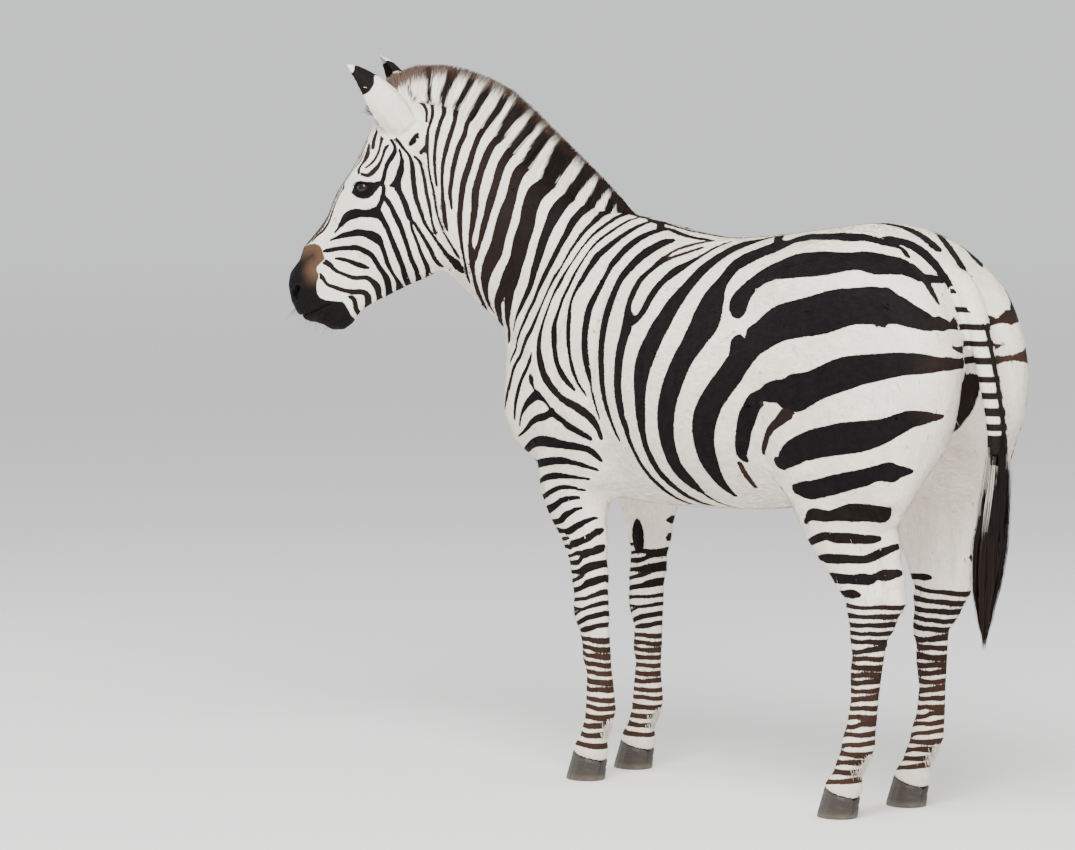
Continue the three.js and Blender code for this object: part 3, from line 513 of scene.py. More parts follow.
THROAT_BANDS = [
    (0, 20, 0.1, ((993, 1496, 5), (986, 1486, 4), (978, 1478, 4), (964, 1460, 4), (952, 1445, 3),
                  (947, 1436, 4), (944, 1425, 6), (942, 1400, 8), (940, 1380, 9), (933, 1340, 8),
                  (926, 1320, 7), (911, 1280, 5), (898, 1260, 4), (879, 1230, 5), (863, 1210, 8),
                  (850, 1195, 16), (843, 1188, 20))),
    (0, 0, 0.3, ((937, 1438, 3), (928, 1430, 4), (919, 1400, 5), (911, 1360, 5), (902, 1320, 5),
                 (895, 1280, 3), (889, 1260, 3))),
    (0, 20, 0.1, ((945, 1294, 5), (938, 1286, 4), (932, 1276, 5), (922, 1260, 5), (911, 1240, 6),
                  (901, 1220, 7), (893, 1200, 7), (885, 1186, 6))),
    (0, 20, 0.1, ((945, 1286, 4), (943, 1272, 4), (939, 1260, 4), (931, 1240, 4),
                  (925, 1220, 5), (918, 1200, 6), (911, 1180, 8), (912, 1160, 9))),
]

HEAD_BANDS = [
    (0, 20, 0, ((1126, 1262, 2), (1118, 1271, 3), (1112, 1279, 5), (1106, 1286, 8),
                (1100, 1296, 13), (1090, 1302, 16), (1080, 1305, 18), (1066, 1308, 16),
                (1050, 1306, 15), (1036, 1308, 17), (1028, 1309, 19), (1020, 1304, 14),
                (1012, 1295, 10), (1002, 1278, 9), (992, 1254, 9), (983, 1230, 9),
                (975, 1206, 10), (967, 1182, 9), (963, 1158, 11), (959, 1138, 10))),
    (0, 0, 0, ((1026, 1312, 10), (1022, 1319, 9), (1013, 1338, 8), (1009, 1360, 6),
               (1008, 1384, 6), (1004, 1410, 6), (1000, 1422, 7), (988, 1440, 8), (983, 1448, 7),
               (982, 1458, 5), (984, 1466, 4), (995, 1483, 4), (1000, 1503, 5))),
    (0, 20, 0, ((1010, 1345, 7), (1005, 1341, 8), (992, 1324, 8), (981, 1302, 9),
                (970, 1280, 9), (961, 1254, 8), (953, 1226, 7), (945, 1198, 8), (936, 1174, 8),
                (934, 1156, 8), (935, 1146, 8))),
    (0, 0, 0, ((972, 1454, 3), (967, 1438, 4), (966, 1428, 7), (967, 1418, 9), (972, 1400, 12),
               (976, 1385, 12), (978, 1370, 13), (970, 1354, 9), (961, 1334, 10),
               (953, 1312, 10), (949, 1300, 9), (945, 1292, 6))),
    (0, 0, 0, ((993, 1371, 3), (988, 1373, 7), (982, 1373, 11))),
    (0, 0, 0.3, ((999, 1464, 3), (1003, 1461, 5), (1010, 1448, 5), (1014, 1436, 4),
                 (1019, 1424, 5), (1024, 1414, 7), (1029, 1407, 8), (1036, 1401, 6),
                 (1044, 1398, 4), (1060, 1400, 2))),
    (0, 0, 0.4, ((1006, 1500, 5), (1012, 1490, 6), (1014, 1480, 6), (1016, 1472, 5),
                 (1020, 1460, 3), (1030, 1438, 3), (1043, 1419, 3), (1050, 1412, 2))),
    (0, 0, 0.4, ((1024, 1508, 5), (1027, 1500, 3), (1031, 1488, 5), (1034, 1478, 6),
                 (1037, 1460, 5))),
    (0, 0, 0.4, ((1048, 1464, 3), (1050, 1444, 7), (1053, 1436, 7), (1057, 1428, 4),
                 (1066, 1410, 3), (1067, 1402, 3))),
    (0, 20, 0, ((1136, 1243, 2), (1122, 1249, 4), (1114, 1252, 7), (1106, 1255, 9),
                (1084, 1258, 11), (1072, 1262, 13), (1062, 1261, 12), (1050, 1259, 14),
                (1041, 1256, 17), (1030, 1252, 18), (1024, 1248, 18), (1018, 1242, 14),
                (1013, 1232, 9), (1007, 1212, 8), (1001, 1188, 8), (992, 1168, 5),
                (987, 1158, 5), (982, 1150, 7), (979, 1130, 12), (979, 1118, 10))),
    (0, 20, 0, ((1154, 1217, 3), (1150, 1218, 5), (1142, 1219, 7), (1122, 1223, 7),
                (1100, 1225, 8), (1074, 1224, 9), (1058, 1219, 11), (1042, 1211, 10),
                (1030, 1195, 9), (1021, 1178, 9), (1010, 1162, 11), (1006, 1152, 12),
                (1004, 1126, 11), (1005, 1100, 9))),
    (0, 0, 0, ((1124, 1200, 3), (1118, 1200, 5), (1098, 1195, 6), (1078, 1187, 8),
               (1060, 1181, 8), (1049, 1179, 3))),
    (0, 20, 0.2, ((1150, 1192, 10), (1140, 1187, 9), (1132, 1178, 6), (1122, 1170, 5),
                  (1110, 1165, 5), (1086, 1155, 7), (1062, 1155, 7), (1052, 1155, 8),
                  (1044, 1150, 9), (1036, 1142, 12), (1030, 1134, 13), (1028, 1114, 9),
                  (1026, 1090, 8))),
    (0, 20, 0.2, ((1162, 1160, 9), (1154, 1154, 7), (1150, 1146, 5), (1142, 1138, 5),
                  (1130, 1134, 6), (1106, 1125, 7), (1080, 1121, 9), (1068, 1122, 9),
                  (1060, 1120, 10), (1055, 1116, 11), (1053, 1100, 11), (1057, 1080, 8))),
    (0, 10, 0.2, ((1094, 1110, 5), (1087, 1107, 7), (1083, 1098, 7), (1081, 1078, 7),
                  (1078, 1072, 6))),
]

SHOULDER_BANDS = [
    (25, 0, 0, ((375, 1300, 6), (388, 1269, 7), (401, 1245, 6), (417, 1215, 7), (433, 1187, 8),
                (454, 1150, 8), (479, 1114, 8), (496, 1084, 9), (506, 1068, 12), (513, 1050, 18),
                (513, 1030, 22), (508, 995, 22), (499, 982, 21), (489, 970, 17), (475, 960, 16),
                (440, 941, 13), (405, 925, 8), (390, 915, 4))),
    (25, 0, 0, ((333, 1291, 10), (349, 1263, 13), (359, 1245, 14), (378, 1217, 16),
                (391, 1189, 12), (404, 1158, 10), (421, 1130, 10), (429, 1115, 10),
                (434, 1100, 13), (433, 1080, 17), (432, 1036, 18), (430, 1018, 18),
                (424, 1000, 15), (405, 965, 10), (381, 932, 5), (357, 905, 3))),
    (20, 0, 0, ((279, 1277, 12), (298, 1262, 16), (307, 1250, 18), (322, 1217, 16),
                (335, 1187, 14), (347, 1156, 12), (357, 1123, 12), (363, 1106, 15),
                (367, 1065, 17), (368, 1043, 17), (361, 1000, 17), (348, 957, 12),
                (334, 920, 9), (321, 895, 6), (309, 865, 4), (305, 856, 3))),
    (0, 0, 0.1, ((360, 1303, 3), (330, 1294, 5), (300, 1290, 6), (285, 1282, 5), (262, 1280, 5),
                 (225, 1272, 5), (195, 1267, 4), (160, 1263, 4), (110, 1259, 3))),
    (0, 0, 0, ((622, 990, 4), (626, 977, 9), (639, 965, 10), (664, 932, 9), (674, 915, 9),
               (683, 895, 10), (691, 875, 8), (697, 835, 4))),
    (0, 0, 0, ((626, 935, 14), (620, 928, 18), (612, 915, 6), (606, 908, 5))),
    (0, 0, 0, ((679, 820, 3), (673, 840, 5), (663, 855, 8), (645, 872, 13), (625, 884, 16),
               (605, 893, 19), (590, 896, 17), (570, 890, 11), (545, 881, 7), (510, 865, 6))),
    (30, 0, 0, ((670, 803, 4), (650, 815, 8), (630, 828, 11), (600, 840, 13), (550, 848, 14),
                (500, 860, 17), (480, 853, 15), (455, 847, 13), (400, 831, 14), (375, 822, 12),
                (343, 806, 8))),
    (40, 0, 0, ((680, 752, 8), (660, 765, 13), (640, 776, 16), (610, 785, 18), (540, 791, 20),
                (500, 790, 19), (430, 787, 15), (370, 783, 13), (350, 778, 13), (335, 765, 12),
                (328, 755, 6))),
    (60, 0, 0, ((655, 724, 12), (630, 728, 14), (600, 735, 15), (540, 744, 14), (460, 749, 13),
                (430, 749, 11), (400, 746, 9), (345, 733, 5))),
    (50, 0, 0, ((618, 690, 6), (600, 694, 7), (575, 702, 10), (520, 711, 12), (450, 713, 8),
                (420, 712, 6), (375, 709, 3))),
]

BARREL_BANDS = [
    (0, 0, 0, ((214, 1256, 10), (227, 1252, 18), (238, 1243, 22), (249, 1232, 24),
               (260, 1217, 24), (277, 1187, 20), (286, 1169, 18), (292, 1134, 19),
               (298, 1095, 22), (301, 1052, 22), (297, 1000, 20), (290, 960, 18),
               (284, 920, 14), (275, 890, 13), (260, 850, 9), (247, 820, 6), (242, 810, 4))),
    (0, 150, 0, ((186, 1217, 20), (194, 1206, 14), (207, 1191, 12), (218, 1176, 14),
                 (226, 1143, 16), (226, 1106, 18), (220, 1091, 24), (214, 1069, 32),
                 (216, 1052, 28), (223, 1017, 26), (225, 970, 23), (225, 925, 23),
                 (218, 882, 21), (216, 865, 18), (208, 847, 19), (205, 820, 12), (200, 800, 11),
                 (191, 760, 10), (184, 740, 12), (169, 705, 14), (160, 685, 12))),
    (0, 0, 0.6, ((186, 1222, 8), (179, 1234, 6), (149, 1250, 5), (120, 1258, 3))),
    (0, 0, 0.6, ((175, 1216, 6), (168, 1221, 6), (140, 1233, 5), (110, 1245, 4))),
    (0, 0, 0, ((55, 1260, 3), (65, 1252, 5), (74, 1243, 6), (87, 1226, 8), (98, 1217, 10),
               (109, 1207, 16), (125, 1196, 20), (149, 1169, 18), (164, 1134, 18),
               (173, 1102, 16), (190, 1085, 16), (205, 1082, 22))),
    (20, 160, 0, ((-60, 1273, 8), (-45, 1269, 9), (-25, 1262, 14), (-3, 1254, 20),
                  (15, 1239, 24), (30, 1221, 27), (54, 1178, 30), (64, 1156, 32),
                  (75, 1134, 38), (93, 1091, 44), (113, 1047, 47), (122, 1026, 48),
                  (131, 1002, 48), (141, 960, 43), (142, 940, 37), (143, 920, 32),
                  (145, 880, 28), (147, 840, 20), (147, 800, 16), (144, 780, 18),
                  (135, 740, 18), (117, 705, 17), (107, 685, 16), (90, 665, 12))),
    (0, 170, 0, ((-200, 1280, 17), (-184, 1277, 17), (-163, 1267, 18), (-150, 1261, 22),
                 (-125, 1256, 26), (-89, 1239, 28), (-69, 1228, 34), (-54, 1214, 36),
                 (-45, 1187, 32), (-40, 1169, 40), (-38, 1152, 54), (-39, 1134, 64),
                 (-42, 1112, 76), (-39, 1091, 76), (-29, 1069, 64), (-17, 1047, 56),
                 (-4, 1026, 50), (22, 976, 50), (44, 925, 46), (59, 880, 45), (66, 840, 41),
                 (69, 800, 38), (67, 760, 36), (51, 720, 30), (44, 705, 18), (42, 698, 8))),
    (0, 0, 0.1, ((-125, 1262, 6), (-97, 1273, 8), (-76, 1277, 6))),
]

HAUNCH_BANDS = [
    (0, 0, 0, ((-200, 1280, 17), (-223, 1281, 15), (-250, 1284, 13), (-300, 1287, 14),
               (-350, 1289, 15), (-376, 1288, 16), (-400, 1288, 13), (-419, 1285, 9),
               (-441, 1279, 8), (-463, 1273, 5), (-480, 1267, 4), (-504, 1250, 3))),
    (0, 0, 0, ((-135, 1116, 18), (-128, 1127, 38), (-123, 1143, 46), (-130, 1160, 40),
               (-145, 1178, 36), (-163, 1191, 34), (-184, 1204, 36), (-223, 1216, 40),
               (-250, 1223, 43), (-300, 1230, 44), (-350, 1233, 43), (-400, 1238, 36),
               (-441, 1242, 29), (-484, 1235, 29), (-517, 1229, 21), (-533, 1219, 15),
               (-550, 1207, 11), (-563, 1198, 5))),
    (0, 0, 0, ((-48, 700, 10), (-43, 726, 24), (-42, 750, 33), (-42, 776, 43), (-47, 824, 49),
               (-52, 850, 53), (-61, 876, 55), (-75, 900, 54), (-89, 922, 52), (-114, 950, 52),
               (-155, 1000, 54), (-168, 1020, 58), (-185, 1043, 62), (-200, 1059, 62),
               (-223, 1074, 66), (-250, 1090, 68), (-278, 1102, 68), (-332, 1115, 69),
               (-376, 1124, 73), (-419, 1136, 75), (-441, 1142, 71), (-463, 1146, 66),
               (-510, 1149, 65), (-533, 1145, 55), (-550, 1141, 47), (-583, 1126, 31),
               (-600, 1117, 23), (-617, 1105, 13), (-623, 1098, 7))),
    (0, 0, 0, ((-150, 1055, 22), (-158, 1044, 44), (-162, 1034, 50))),
    (0, 10, 0, ((-149, 792, 12), (-144, 800, 20), (-149, 816, 25), (-160, 837, 29),
                (-181, 881, 33), (-194, 903, 33), (-207, 922, 36), (-230, 941, 22),
                (-250, 947, 34), (-278, 952, 44), (-300, 948, 60), (-321, 950, 68),
                (-350, 960, 62), (-376, 969, 56), (-419, 987, 57), (-463, 1003, 58),
                (-484, 1008, 54), (-533, 1017, 47), (-583, 1025, 40), (-617, 1025, 33),
                (-630, 1024, 27), (-642, 1022, 14))),
    (0, 0, 0.4, ((-300, 905, 24), (-289, 898, 22), (-273, 885, 16), (-256, 874, 14),
                 (-232, 850, 12), (-215, 824, 11), (-206, 810, 6))),
    (0, 20, 0, ((-252, 794, 18), (-267, 793, 26), (-280, 801, 32), (-300, 814, 44),
                (-321, 826, 46), (-350, 836, 51), (-400, 849, 54), (-441, 857, 57),
                (-484, 864, 55), (-510, 870, 50), (-533, 877, 43), (-567, 893, 35),
                (-600, 907, 27), (-617, 909, 22), (-630, 910, 12))),
    (0, 10, 0, ((-295, 736, 18), (-310, 736, 26), (-332, 736, 34), (-350, 739, 33),
                (-400, 752, 34), (-441, 763, 32), (-484, 773, 30), (-517, 784, 28),
                (-547, 787, 34), (-560, 789, 22), (-572, 790, 12))),
    (0, 0, 0.8, ((-129, 781, 10), (-128, 750, 12), (-127, 726, 9))),
    (0, 0, 0.9, ((-222, 928, 9), (-230, 922, 9))),
]

# Bands beside the tail, as seen from the rear: x, z and width.
REAR_BANDS = [
    (20, 0, 0, ((84, 1284, 24), (64, 1275, 27), (53, 1262, 28), (46, 1245, 26), (43, 1228, 24),
                (41, 1212, 20), (38, 1198, 16), (35, 1184, 12), (33, 1170, 8))),
    (0, 0, 0.2, ((112, 1226, 22), (104, 1201, 20), (103, 1184, 16), (102, 1168, 12),
                 (100, 1152, 6))),
    (0, 0, 0.3, ((100, 1100, 5), (80, 1106, 8), (62, 1112, 9), (40, 1118, 10))),
    (0, 0, 0.2, ((96, 1058, 5), (75, 1052, 8), (55, 1050, 12), (38, 1048, 14))),
]

FORELEG_BANDS = [
    (40, 0, 0, ((612, 655, 8), (590, 657, 9), (560, 667, 9), (530, 676, 9), (500, 683, 8),
               (440, 687, 6), (400, 681, 3))),
    (0, 0, 0, ((600, 620, 12), (585, 625, 14), (565, 630, 15), (540, 636, 14), (510, 646, 12),
               (480, 656, 10), (450, 661, 8), (415, 664, 3))),
    (0, 0, 0, ((590, 593, 8), (562, 598, 10), (534, 602, 10), (506, 607, 11), (490, 614, 14),
               (478, 620, 13), (454, 628, 9), (434, 635, 7), (414, 639, 3))),
    (0, 0, 0, ((566, 577, 7), (534, 581, 10), (500, 582, 8), (478, 582, 12), (460, 587, 13),
               (440, 595, 12), (420, 602, 10), (403, 611, 6), (396, 615, 4))),
    (0, 0, 0.7, ((548, 555, 4), (518, 561, 6), (498, 564, 6), (480, 566, 3))),
    (0, 0, 0.1, ((540, 541, 6), (500, 545, 6), (478, 546, 10), (470, 551, 12), (450, 555, 14),
               (430, 561, 12), (410, 568, 12), (402, 575, 10), (391, 588, 6), (384, 592, 4))),
    (0, 0, 0.2, ((500, 522, 4), (474, 526, 5), (450, 532, 7), (440, 532, 9), (430, 530, 14),
               (410, 535, 14), (400, 538, 12), (390, 548, 8), (382, 551, 5))),
    (0, 0, 0.2, ((496, 506, 7), (470, 508, 8), (450, 511, 9), (434, 521, 7), (428, 527, 7))),
    (0, 0, 0.1, ((510, 485, 5), (480, 486, 6), (460, 488, 7), (446, 489, 10), (430, 493, 17),
               (420, 497, 17), (400, 505, 14), (388, 509, 12))),
    (0, 0, 0.4, ((508, 462, 7), (480, 466, 6), (450, 474, 6), (434, 480, 6), (428, 486, 7))),
    (0, 0, 0.1, ((500, 440, 10), (470, 445, 9), (440, 452, 9), (420, 461, 14), (400, 469, 13),
               (393, 474, 10), (384, 480, 6))),
    (0, 0, 0.3, ((500, 419, 5), (470, 422, 6), (446, 425, 5), (422, 428, 6), (400, 437, 7),
               (388, 447, 6))),
    (0, 0, 0.2, ((504, 401, 10), (486, 400, 9), (464, 402, 4), (440, 401, 5), (420, 406, 5),
               (400, 413, 7), (386, 420, 6))),
    (0, 0, 0.5, ((500, 384, 7), (474, 388, 5), (444, 398, 3))),
    (0, 0, 0.1, ((490, 364, 6), (466, 367, 7), (446, 373, 8), (426, 380, 9), (406, 386, 9),
               (386, 394, 8))),
    (0, 0, 0.1, ((456, 351, 4), (434, 354, 10), (414, 358, 9), (398, 364, 8), (384, 365, 8))),
]

HINDLEG_BANDS = [
    (0, 0, 0.1, ((-305, 662, 6), (-317, 671, 12), (-323, 677, 16), (-332, 681, 20),
               (-374, 681, 20), (-388, 683, 19), (-406, 687, 24), (-419, 690, 28),
               (-450, 693, 32), (-490, 693, 32), (-506, 692, 28), (-514, 698, 16), (-522, 704, 8))),
    (0, 0, 0.1, ((-276, 608, 8), (-299, 616, 10), (-312, 619, 12), (-339, 629, 14),
               (-366, 636, 14), (-383, 634, 17), (-428, 634, 18), (-450, 633, 16),
               (-468, 634, 14), (-483, 636, 8))),
    (0, 0, 0.1, ((-301, 576, 3), (-323, 582, 8), (-334, 584, 10), (-346, 584, 14),
               (-379, 586, 18), (-414, 588, 15), (-446, 588, 14), (-472, 600, 15),
               (-499, 611, 12), (-514, 620, 8))),
    (0, 0, 0, ((-322, 536, 10), (-332, 539, 14), (-346, 540, 18), (-383, 542, 18),
               (-428, 543, 17), (-446, 544, 20), (-457, 543, 16), (-463, 545, 8))),
    (0, 0, 0.2, ((-466, 550, 12), (-480, 553, 20), (-496, 556, 20), (-512, 560, 14))),
    (0, 0, 0.1, ((-346, 501, 6), (-366, 504, 12), (-392, 508, 12), (-428, 510, 12),
               (-436, 509, 5))),
]


# ------------------------------------------------------------------ from courses to distances

STEP = 4 * MM
WIDTH_CLASSES = (0, 3 * MM, 6 * MM, 12 * MM, 22 * MM, 1)  # half widths kept in trees of their own
LEG_TOP = 0.66  # below this height only the legs and tail are left


def flowing(course, step=STEP):
    """Evenly close points on a smooth curve through the given ones: f, z and width in metres."""
    given = np.array(course, float) * MM
    reach = np.concatenate([[0], np.cumsum(np.hypot(*np.diff(given[:, :2], axis=0).T))])
    slope = np.gradient(given, reach, axis=0)
    at = np.linspace(0, reach[-1], max(2, int(reach[-1] / step) + 1))
    n = np.clip(np.searchsorted(reach, at, "right") - 1, 0, len(reach) - 2)
    span = (reach[n + 1] - reach[n])[:, None]
    t = (at - reach[n])[:, None] / span
    out = (
        (2 * t**3 - 3 * t**2 + 1) * given[n] + (t**3 - 2 * t**2 + t) * span * slope[n]
        + (3 * t**2 - 2 * t**3) * given[n + 1] + (t**3 - t**2) * span * slope[n + 1]
    )
    return out


def run_on(place, way, width, length):
    """Points that carry a band on over the skin, narrowing, as far as the middle line."""
    out = []
    steps = int(length / STEP)
    for n in range(steps):
        near, normal, _ = SKIN.nearest(place + way * STEP)
        if near[0] < 0 or np.linalg.norm(near - place) < STEP / 3:
            break
        way = unit(near - place)
        place = near
        out.append((place, normal, width * (1 - 0.75 * n / steps)))
    return out


def even(places, widths):
    """Points STEP apart on the skin along a line of points that may lie unevenly or double back."""
    kept = [0]
    for n in range(1, len(places)):
        gone = places[n] - places[kept[-1]]
        back = len(kept) > 1 and gone @ (places[kept[-1]] - places[kept[-2]]) < 0
        if np.linalg.norm(gone) > STEP / 3 and not back:
            kept.append(n)
    places, widths = places[kept], widths[kept]
    for _ in range(2):
        places[1:-1] = (places[:-2] + 2 * places[1:-1] + places[2:]) / 4
    gone = np.concatenate([[0], np.cumsum(np.linalg.norm(np.diff(places, axis=0), axis=1))])
    at = np.linspace(0, gone[-1], max(3, int(gone[-1] / STEP) + 1))
    line = np.stack([np.interp(at, gone, places[:, k]) for k in range(3)], 1)
    met = [SKIN.nearest(place) for place in line]
    return np.array([m[0] for m in met]), np.array([m[1] for m in met]), np.interp(at, gone, widths)


def on_skin(before, after, course, rear=False):
    """A band's points, normals and widths on the skin of the left side, or of the rear."""
    places, widths = [], []
    for across, z, width in flowing(course):
        if rear:
            met = SKIN.hit((across, 1.2, z), (0, -1, 0), 1.2)
        else:
            met = SKIN.hit((0.7, -across, z), (-1, 0, 0), 0.7)
        if met is not None:
            places.append(met[0])
            widths.append(width)
    if len(places) < 3:
        return None
    places, normals, widths = even(np.array(places), np.array(widths))
    out = list(zip(places, normals, widths))
    if after:
        out += run_on(out[-1][0], unit(out[-1][0] - out[-3][0]), out[-1][2], after * MM)
    if before:
        head = run_on(out[0][0], unit(out[0][0] - out[2][0]), out[0][2], before * MM)
        out = head[::-1] + out
    return [np.array(v) for v in zip(*out)]


def side_widths(normals, along, widths):
    """True widths on the skin of widths that were measured square to the side view."""
    across = np.cross(normals, along)
    seen = np.stack([-along[:, 2], along[:, 1]], 1)
    seen = unit(seen)
    share = np.clip(np.abs((across[:, 1:] * seen).sum(1)), 0.5, 1)
    padded = np.pad(share, 3, mode="edge")
    return widths / np.mean([padded[k:k + len(share)] for k in range(7)], axis=0)


NO_BAND = (FAR, FAR, 0.001, 0.0, 1.0)  # offset, distance, half width, brown, past an end
HAIR_EDGE = 2.8 * MM  # by which dark hair hides the edges of the white beside it


class Bands:
    """Points along the middles of bands, and how far any other point is from them."""

    def __init__(self):
        self.place, self.along, self.across, self.half, self.brown, self.end = ([] for _ in range(6))

    def add(self, places, normals, widths, brown, true=False):
        along = unit(np.gradient(places, axis=0))
        widths = widths * 1.19 + HAIR_EDGE
        if not true:
            widths = side_widths(normals, along, widths)
        end = np.zeros(len(places))
        end[0], end[-1] = -1, 1
        self.place.append(places)
        self.along.append(along)
        self.across.append(unit(np.cross(normals, along)))
        self.half.append(widths / 2)
        self.brown.append(np.full(len(places), float(brown)))
        self.end.append(end)

    def finish(self):
        owner = np.repeat(np.arange(len(self.place)), [len(v) for v in self.place])
        for name in ("place", "along", "across", "half", "brown", "end"):
            setattr(self, name, np.concatenate(getattr(self, name)))
        self.across *= self.facing(owner)[owner][:, None]
        self.trees = []
        for low, high in zip(WIDTH_CLASSES[:-1], WIDTH_CLASSES[1:]):
            chosen = np.flatnonzero((self.half >= low) & (self.half < high))
            tree = KDTree(max(len(chosen), 1))
            for n in chosen:
                tree.insert(self.place[n], int(n))
            tree.balance()
            if len(chosen):
                self.trees.append(tree)
        return self

    def facing(self, owner):
        """For each band 1 or -1, so that neighbours turn the same sign to the gap between them."""
        everything = KDTree(len(self.place))
        for n, place in enumerate(self.place):
            everything.insert(place, n)
        everything.balance()
        votes = {}
        for n in range(0, len(self.place), 3):
            for side in (-1, 1):
                for gap in (3 * MM, 7 * MM, 12 * MM, 18 * MM):
                    probe = self.place[n] + self.across[n] * side * (self.half[n] + gap)
                    met = [m for _, m, _ in everything.find_n(probe, 8) if owner[m] != owner[n]]
                    if met and np.linalg.norm(probe - self.place[met[0]]) < self.half[met[0]] + gap:
                        other = np.sign((probe - self.place[met[0]]) @ self.across[met[0]])
                        pair = tuple(sorted((owner[n], owner[met[0]])))
                        votes[pair] = votes.get(pair, 0) + side * other
                        break
        leader = np.arange(owner[-1] + 1)
        sign = np.ones(owner[-1] + 1)
        for (a, b), vote in sorted(votes.items(), key=lambda item: -abs(item[1])):
            if leader[a] != leader[b]:
                moved = leader == leader[b]
                if sign[a] * sign[b] * vote < 0:
                    sign[moved] *= -1
                leader[moved] = leader[a]
        return sign

    def read(self, points):
        """The offset from the nearest band's middle, the distance from it, its half width, its brown."""
        best = np.full(len(points), FAR)
        out = np.tile(NO_BAND, (len(points), 1))
        for tree in self.trees:
            n = np.array([tree.find(p)[1] for p in points.tolist()])
            apart = points - self.place[n]
            ahead = (apart * self.along[n]).sum(1)
            far = np.linalg.norm(apart, axis=1)
            side = np.sqrt(np.maximum(far**2 - ahead**2, 0))
            past = np.abs(ahead) > np.where(ahead * self.end[n] > 0, STEP / 2, STEP)
            offset = np.where(past, far, side) * np.sign((apart * self.across[n]).sum(1) + 1e-12)
            value = np.abs(offset) - self.half[n]
            closer = value < best
            best[closer] = value[closer]
            found = np.stack([offset, far, self.half[n], self.brown[n], past], 1)
            out[closer] = found[closer]
        return out


BODY_BANDS = NECK_BANDS + THROAT_BANDS + SHOULDER_BANDS + BARREL_BANDS + HAUNCH_BANDS + HEAD_BANDS
LEG_BANDS = SHOULDER_BANDS + HAUNCH_BANDS + FORELEG_BANDS + HINDLEG_BANDS


# Dark lines along the middle: where they start and end (f), up or down, and their width.
MIDDLE_LINES = ((-0.50, -0.18, 1, 26), (-0.18, 0.42, 1, 14), (-0.14, 0.30, -1, 14))


def body_marks():
    """The bands of the left side, lifted onto the skin, with the lines of back, belly and face."""
    marks = Bands()
    for before, after, brown, course in BODY_BANDS + FORELEG_BANDS[:3] + HINDLEG_BANDS[:2]:
        found = on_skin(before, after, course)
        if found:
            marks.add(*found, brown)
    for before, after, brown, course in REAR_BANDS:
        marks.add(*on_skin(before, after, course, rear=True), brown, true=True)
    for low, high, up, width in MIDDLE_LINES:
        line = [SKIN.hit((0, -f, 0.9 + 1.5 * up), (0, 0, -up)) for f in np.arange(low, high, STEP)]
        places = np.array([met[0] for met in line])
        normals = np.array([met[1] for met in line])
        marks.add(places, normals, np.full(len(places), width * MM), 0.1, true=True)
    for x, first, last, width in FACE_LINES:
        marks.add(*face_line(x * MM, first, last, width * MM), 0.5, true=True)
    return marks.finish()


# Fine lines down the forehead and nose: how far from the middle (mm), where they start and end
# between the poll (0) and the muzzle (1), and their width.
FACE_LINES = (
    (4.5, 0.10, 0.50, 3.2), (6, 0.42, 1.04, 2.6), (15, 0.03, 0.36, 3.4), (16, 0.30, 1.05, 3.0),
    (26, 0.08, 0.42, 3.4), (26, 0.36, 1.04, 3.0), (36, 0.12, 1.02, 3.2), (46, 0.20, 0.97, 3.2),
)
FACE_TOP = np.array([0, -1.030, 1.505])
FACE_END = np.array([0, -1.196, 1.236])
FACE_OUT = unit(np.array([0, -0.86, 0.51]))


def face_line(x, first, last, width):
    out = []
    for t in np.linspace(first, last, 60):
        spread = np.interp(t, [0, 0.3, 0.5, 0.75, 1], [0.72, 1.0, 0.92, 0.72, 0.60])
        start = FACE_TOP + (FACE_END - FACE_TOP) * t + FACE_OUT * 0.15
        met = SKIN.hit((x * spread, start[1], start[2]), -FACE_OUT, 0.3)
        if met is not None:
            near_end = min((t - first) / 0.06, (last - t) / 0.06, 1)
            out.append((met[0], met[1], width * (0.45 + 0.55 * near_end)))
    return [np.array(v) for v in zip(*out)]


def leg_rings():
    """For each leg, by height: the middle across and along, and half its size along."""
    at, out = SKIN.points, {}
    levels = np.arange(0.05, 0.62, 0.02)
    for front in (True, False):
        for side in (1, -1):
            rows = []
            for z in levels:
                ring = (np.abs(at[:, 2] - z) < 0.012) & ((at[:, 1] < BETWEEN_LEGS) == front)
                ring &= (at[:, 1] < 0.60 + 0.06 * (z > 0.4)) & (at[:, 0] * side > 0)
                low, high = at[ring].min(0), at[ring].max(0)
                rows.append([(low[0] + high[0]) / 2, (low[1] + high[1]) / 2, (high[1] - low[1]) / 2])
            out[front, side] = np.array(rows)
    return levels, out


def ring_bands(front, top, low, slope):
    """Rings down a lower leg from the front edge to the rear one."""
    rng = np.random.default_rng(31 + front)
    levels, rings = leg_rings()
    rows = rings[front, 1]
    out, z = [], top
    while z > low:
        lean = slope + rng.normal(0, 2.2)
        wave = rng.normal(0, 1.4, 5)
        size = rng.uniform(7.0, 9.5) * np.interp(z, [80, 500], [1.15, 0.95])
        middle_y = np.interp(z * MM, levels, rows[:, 1]) / MM
        half = np.interp(z * MM, levels, rows[:, 2]) / MM
        course = []
        for n, share in enumerate(np.linspace(-1.15, 1.15, 5)):
            edge = 1 + 0.35 * abs(share) + rng.normal(0, 0.08)
            course.append((-middle_y - share * half, z + lean * share + wave[n], 0.82 * size * edge))
        out.append((0, 0, 0.25 + 0.3 * rng.uniform(), tuple(course)))
        z -= np.interp(z, [80, 340, 500], [23, 18, 20.5]) + rng.normal(0, 1.0)
    return out


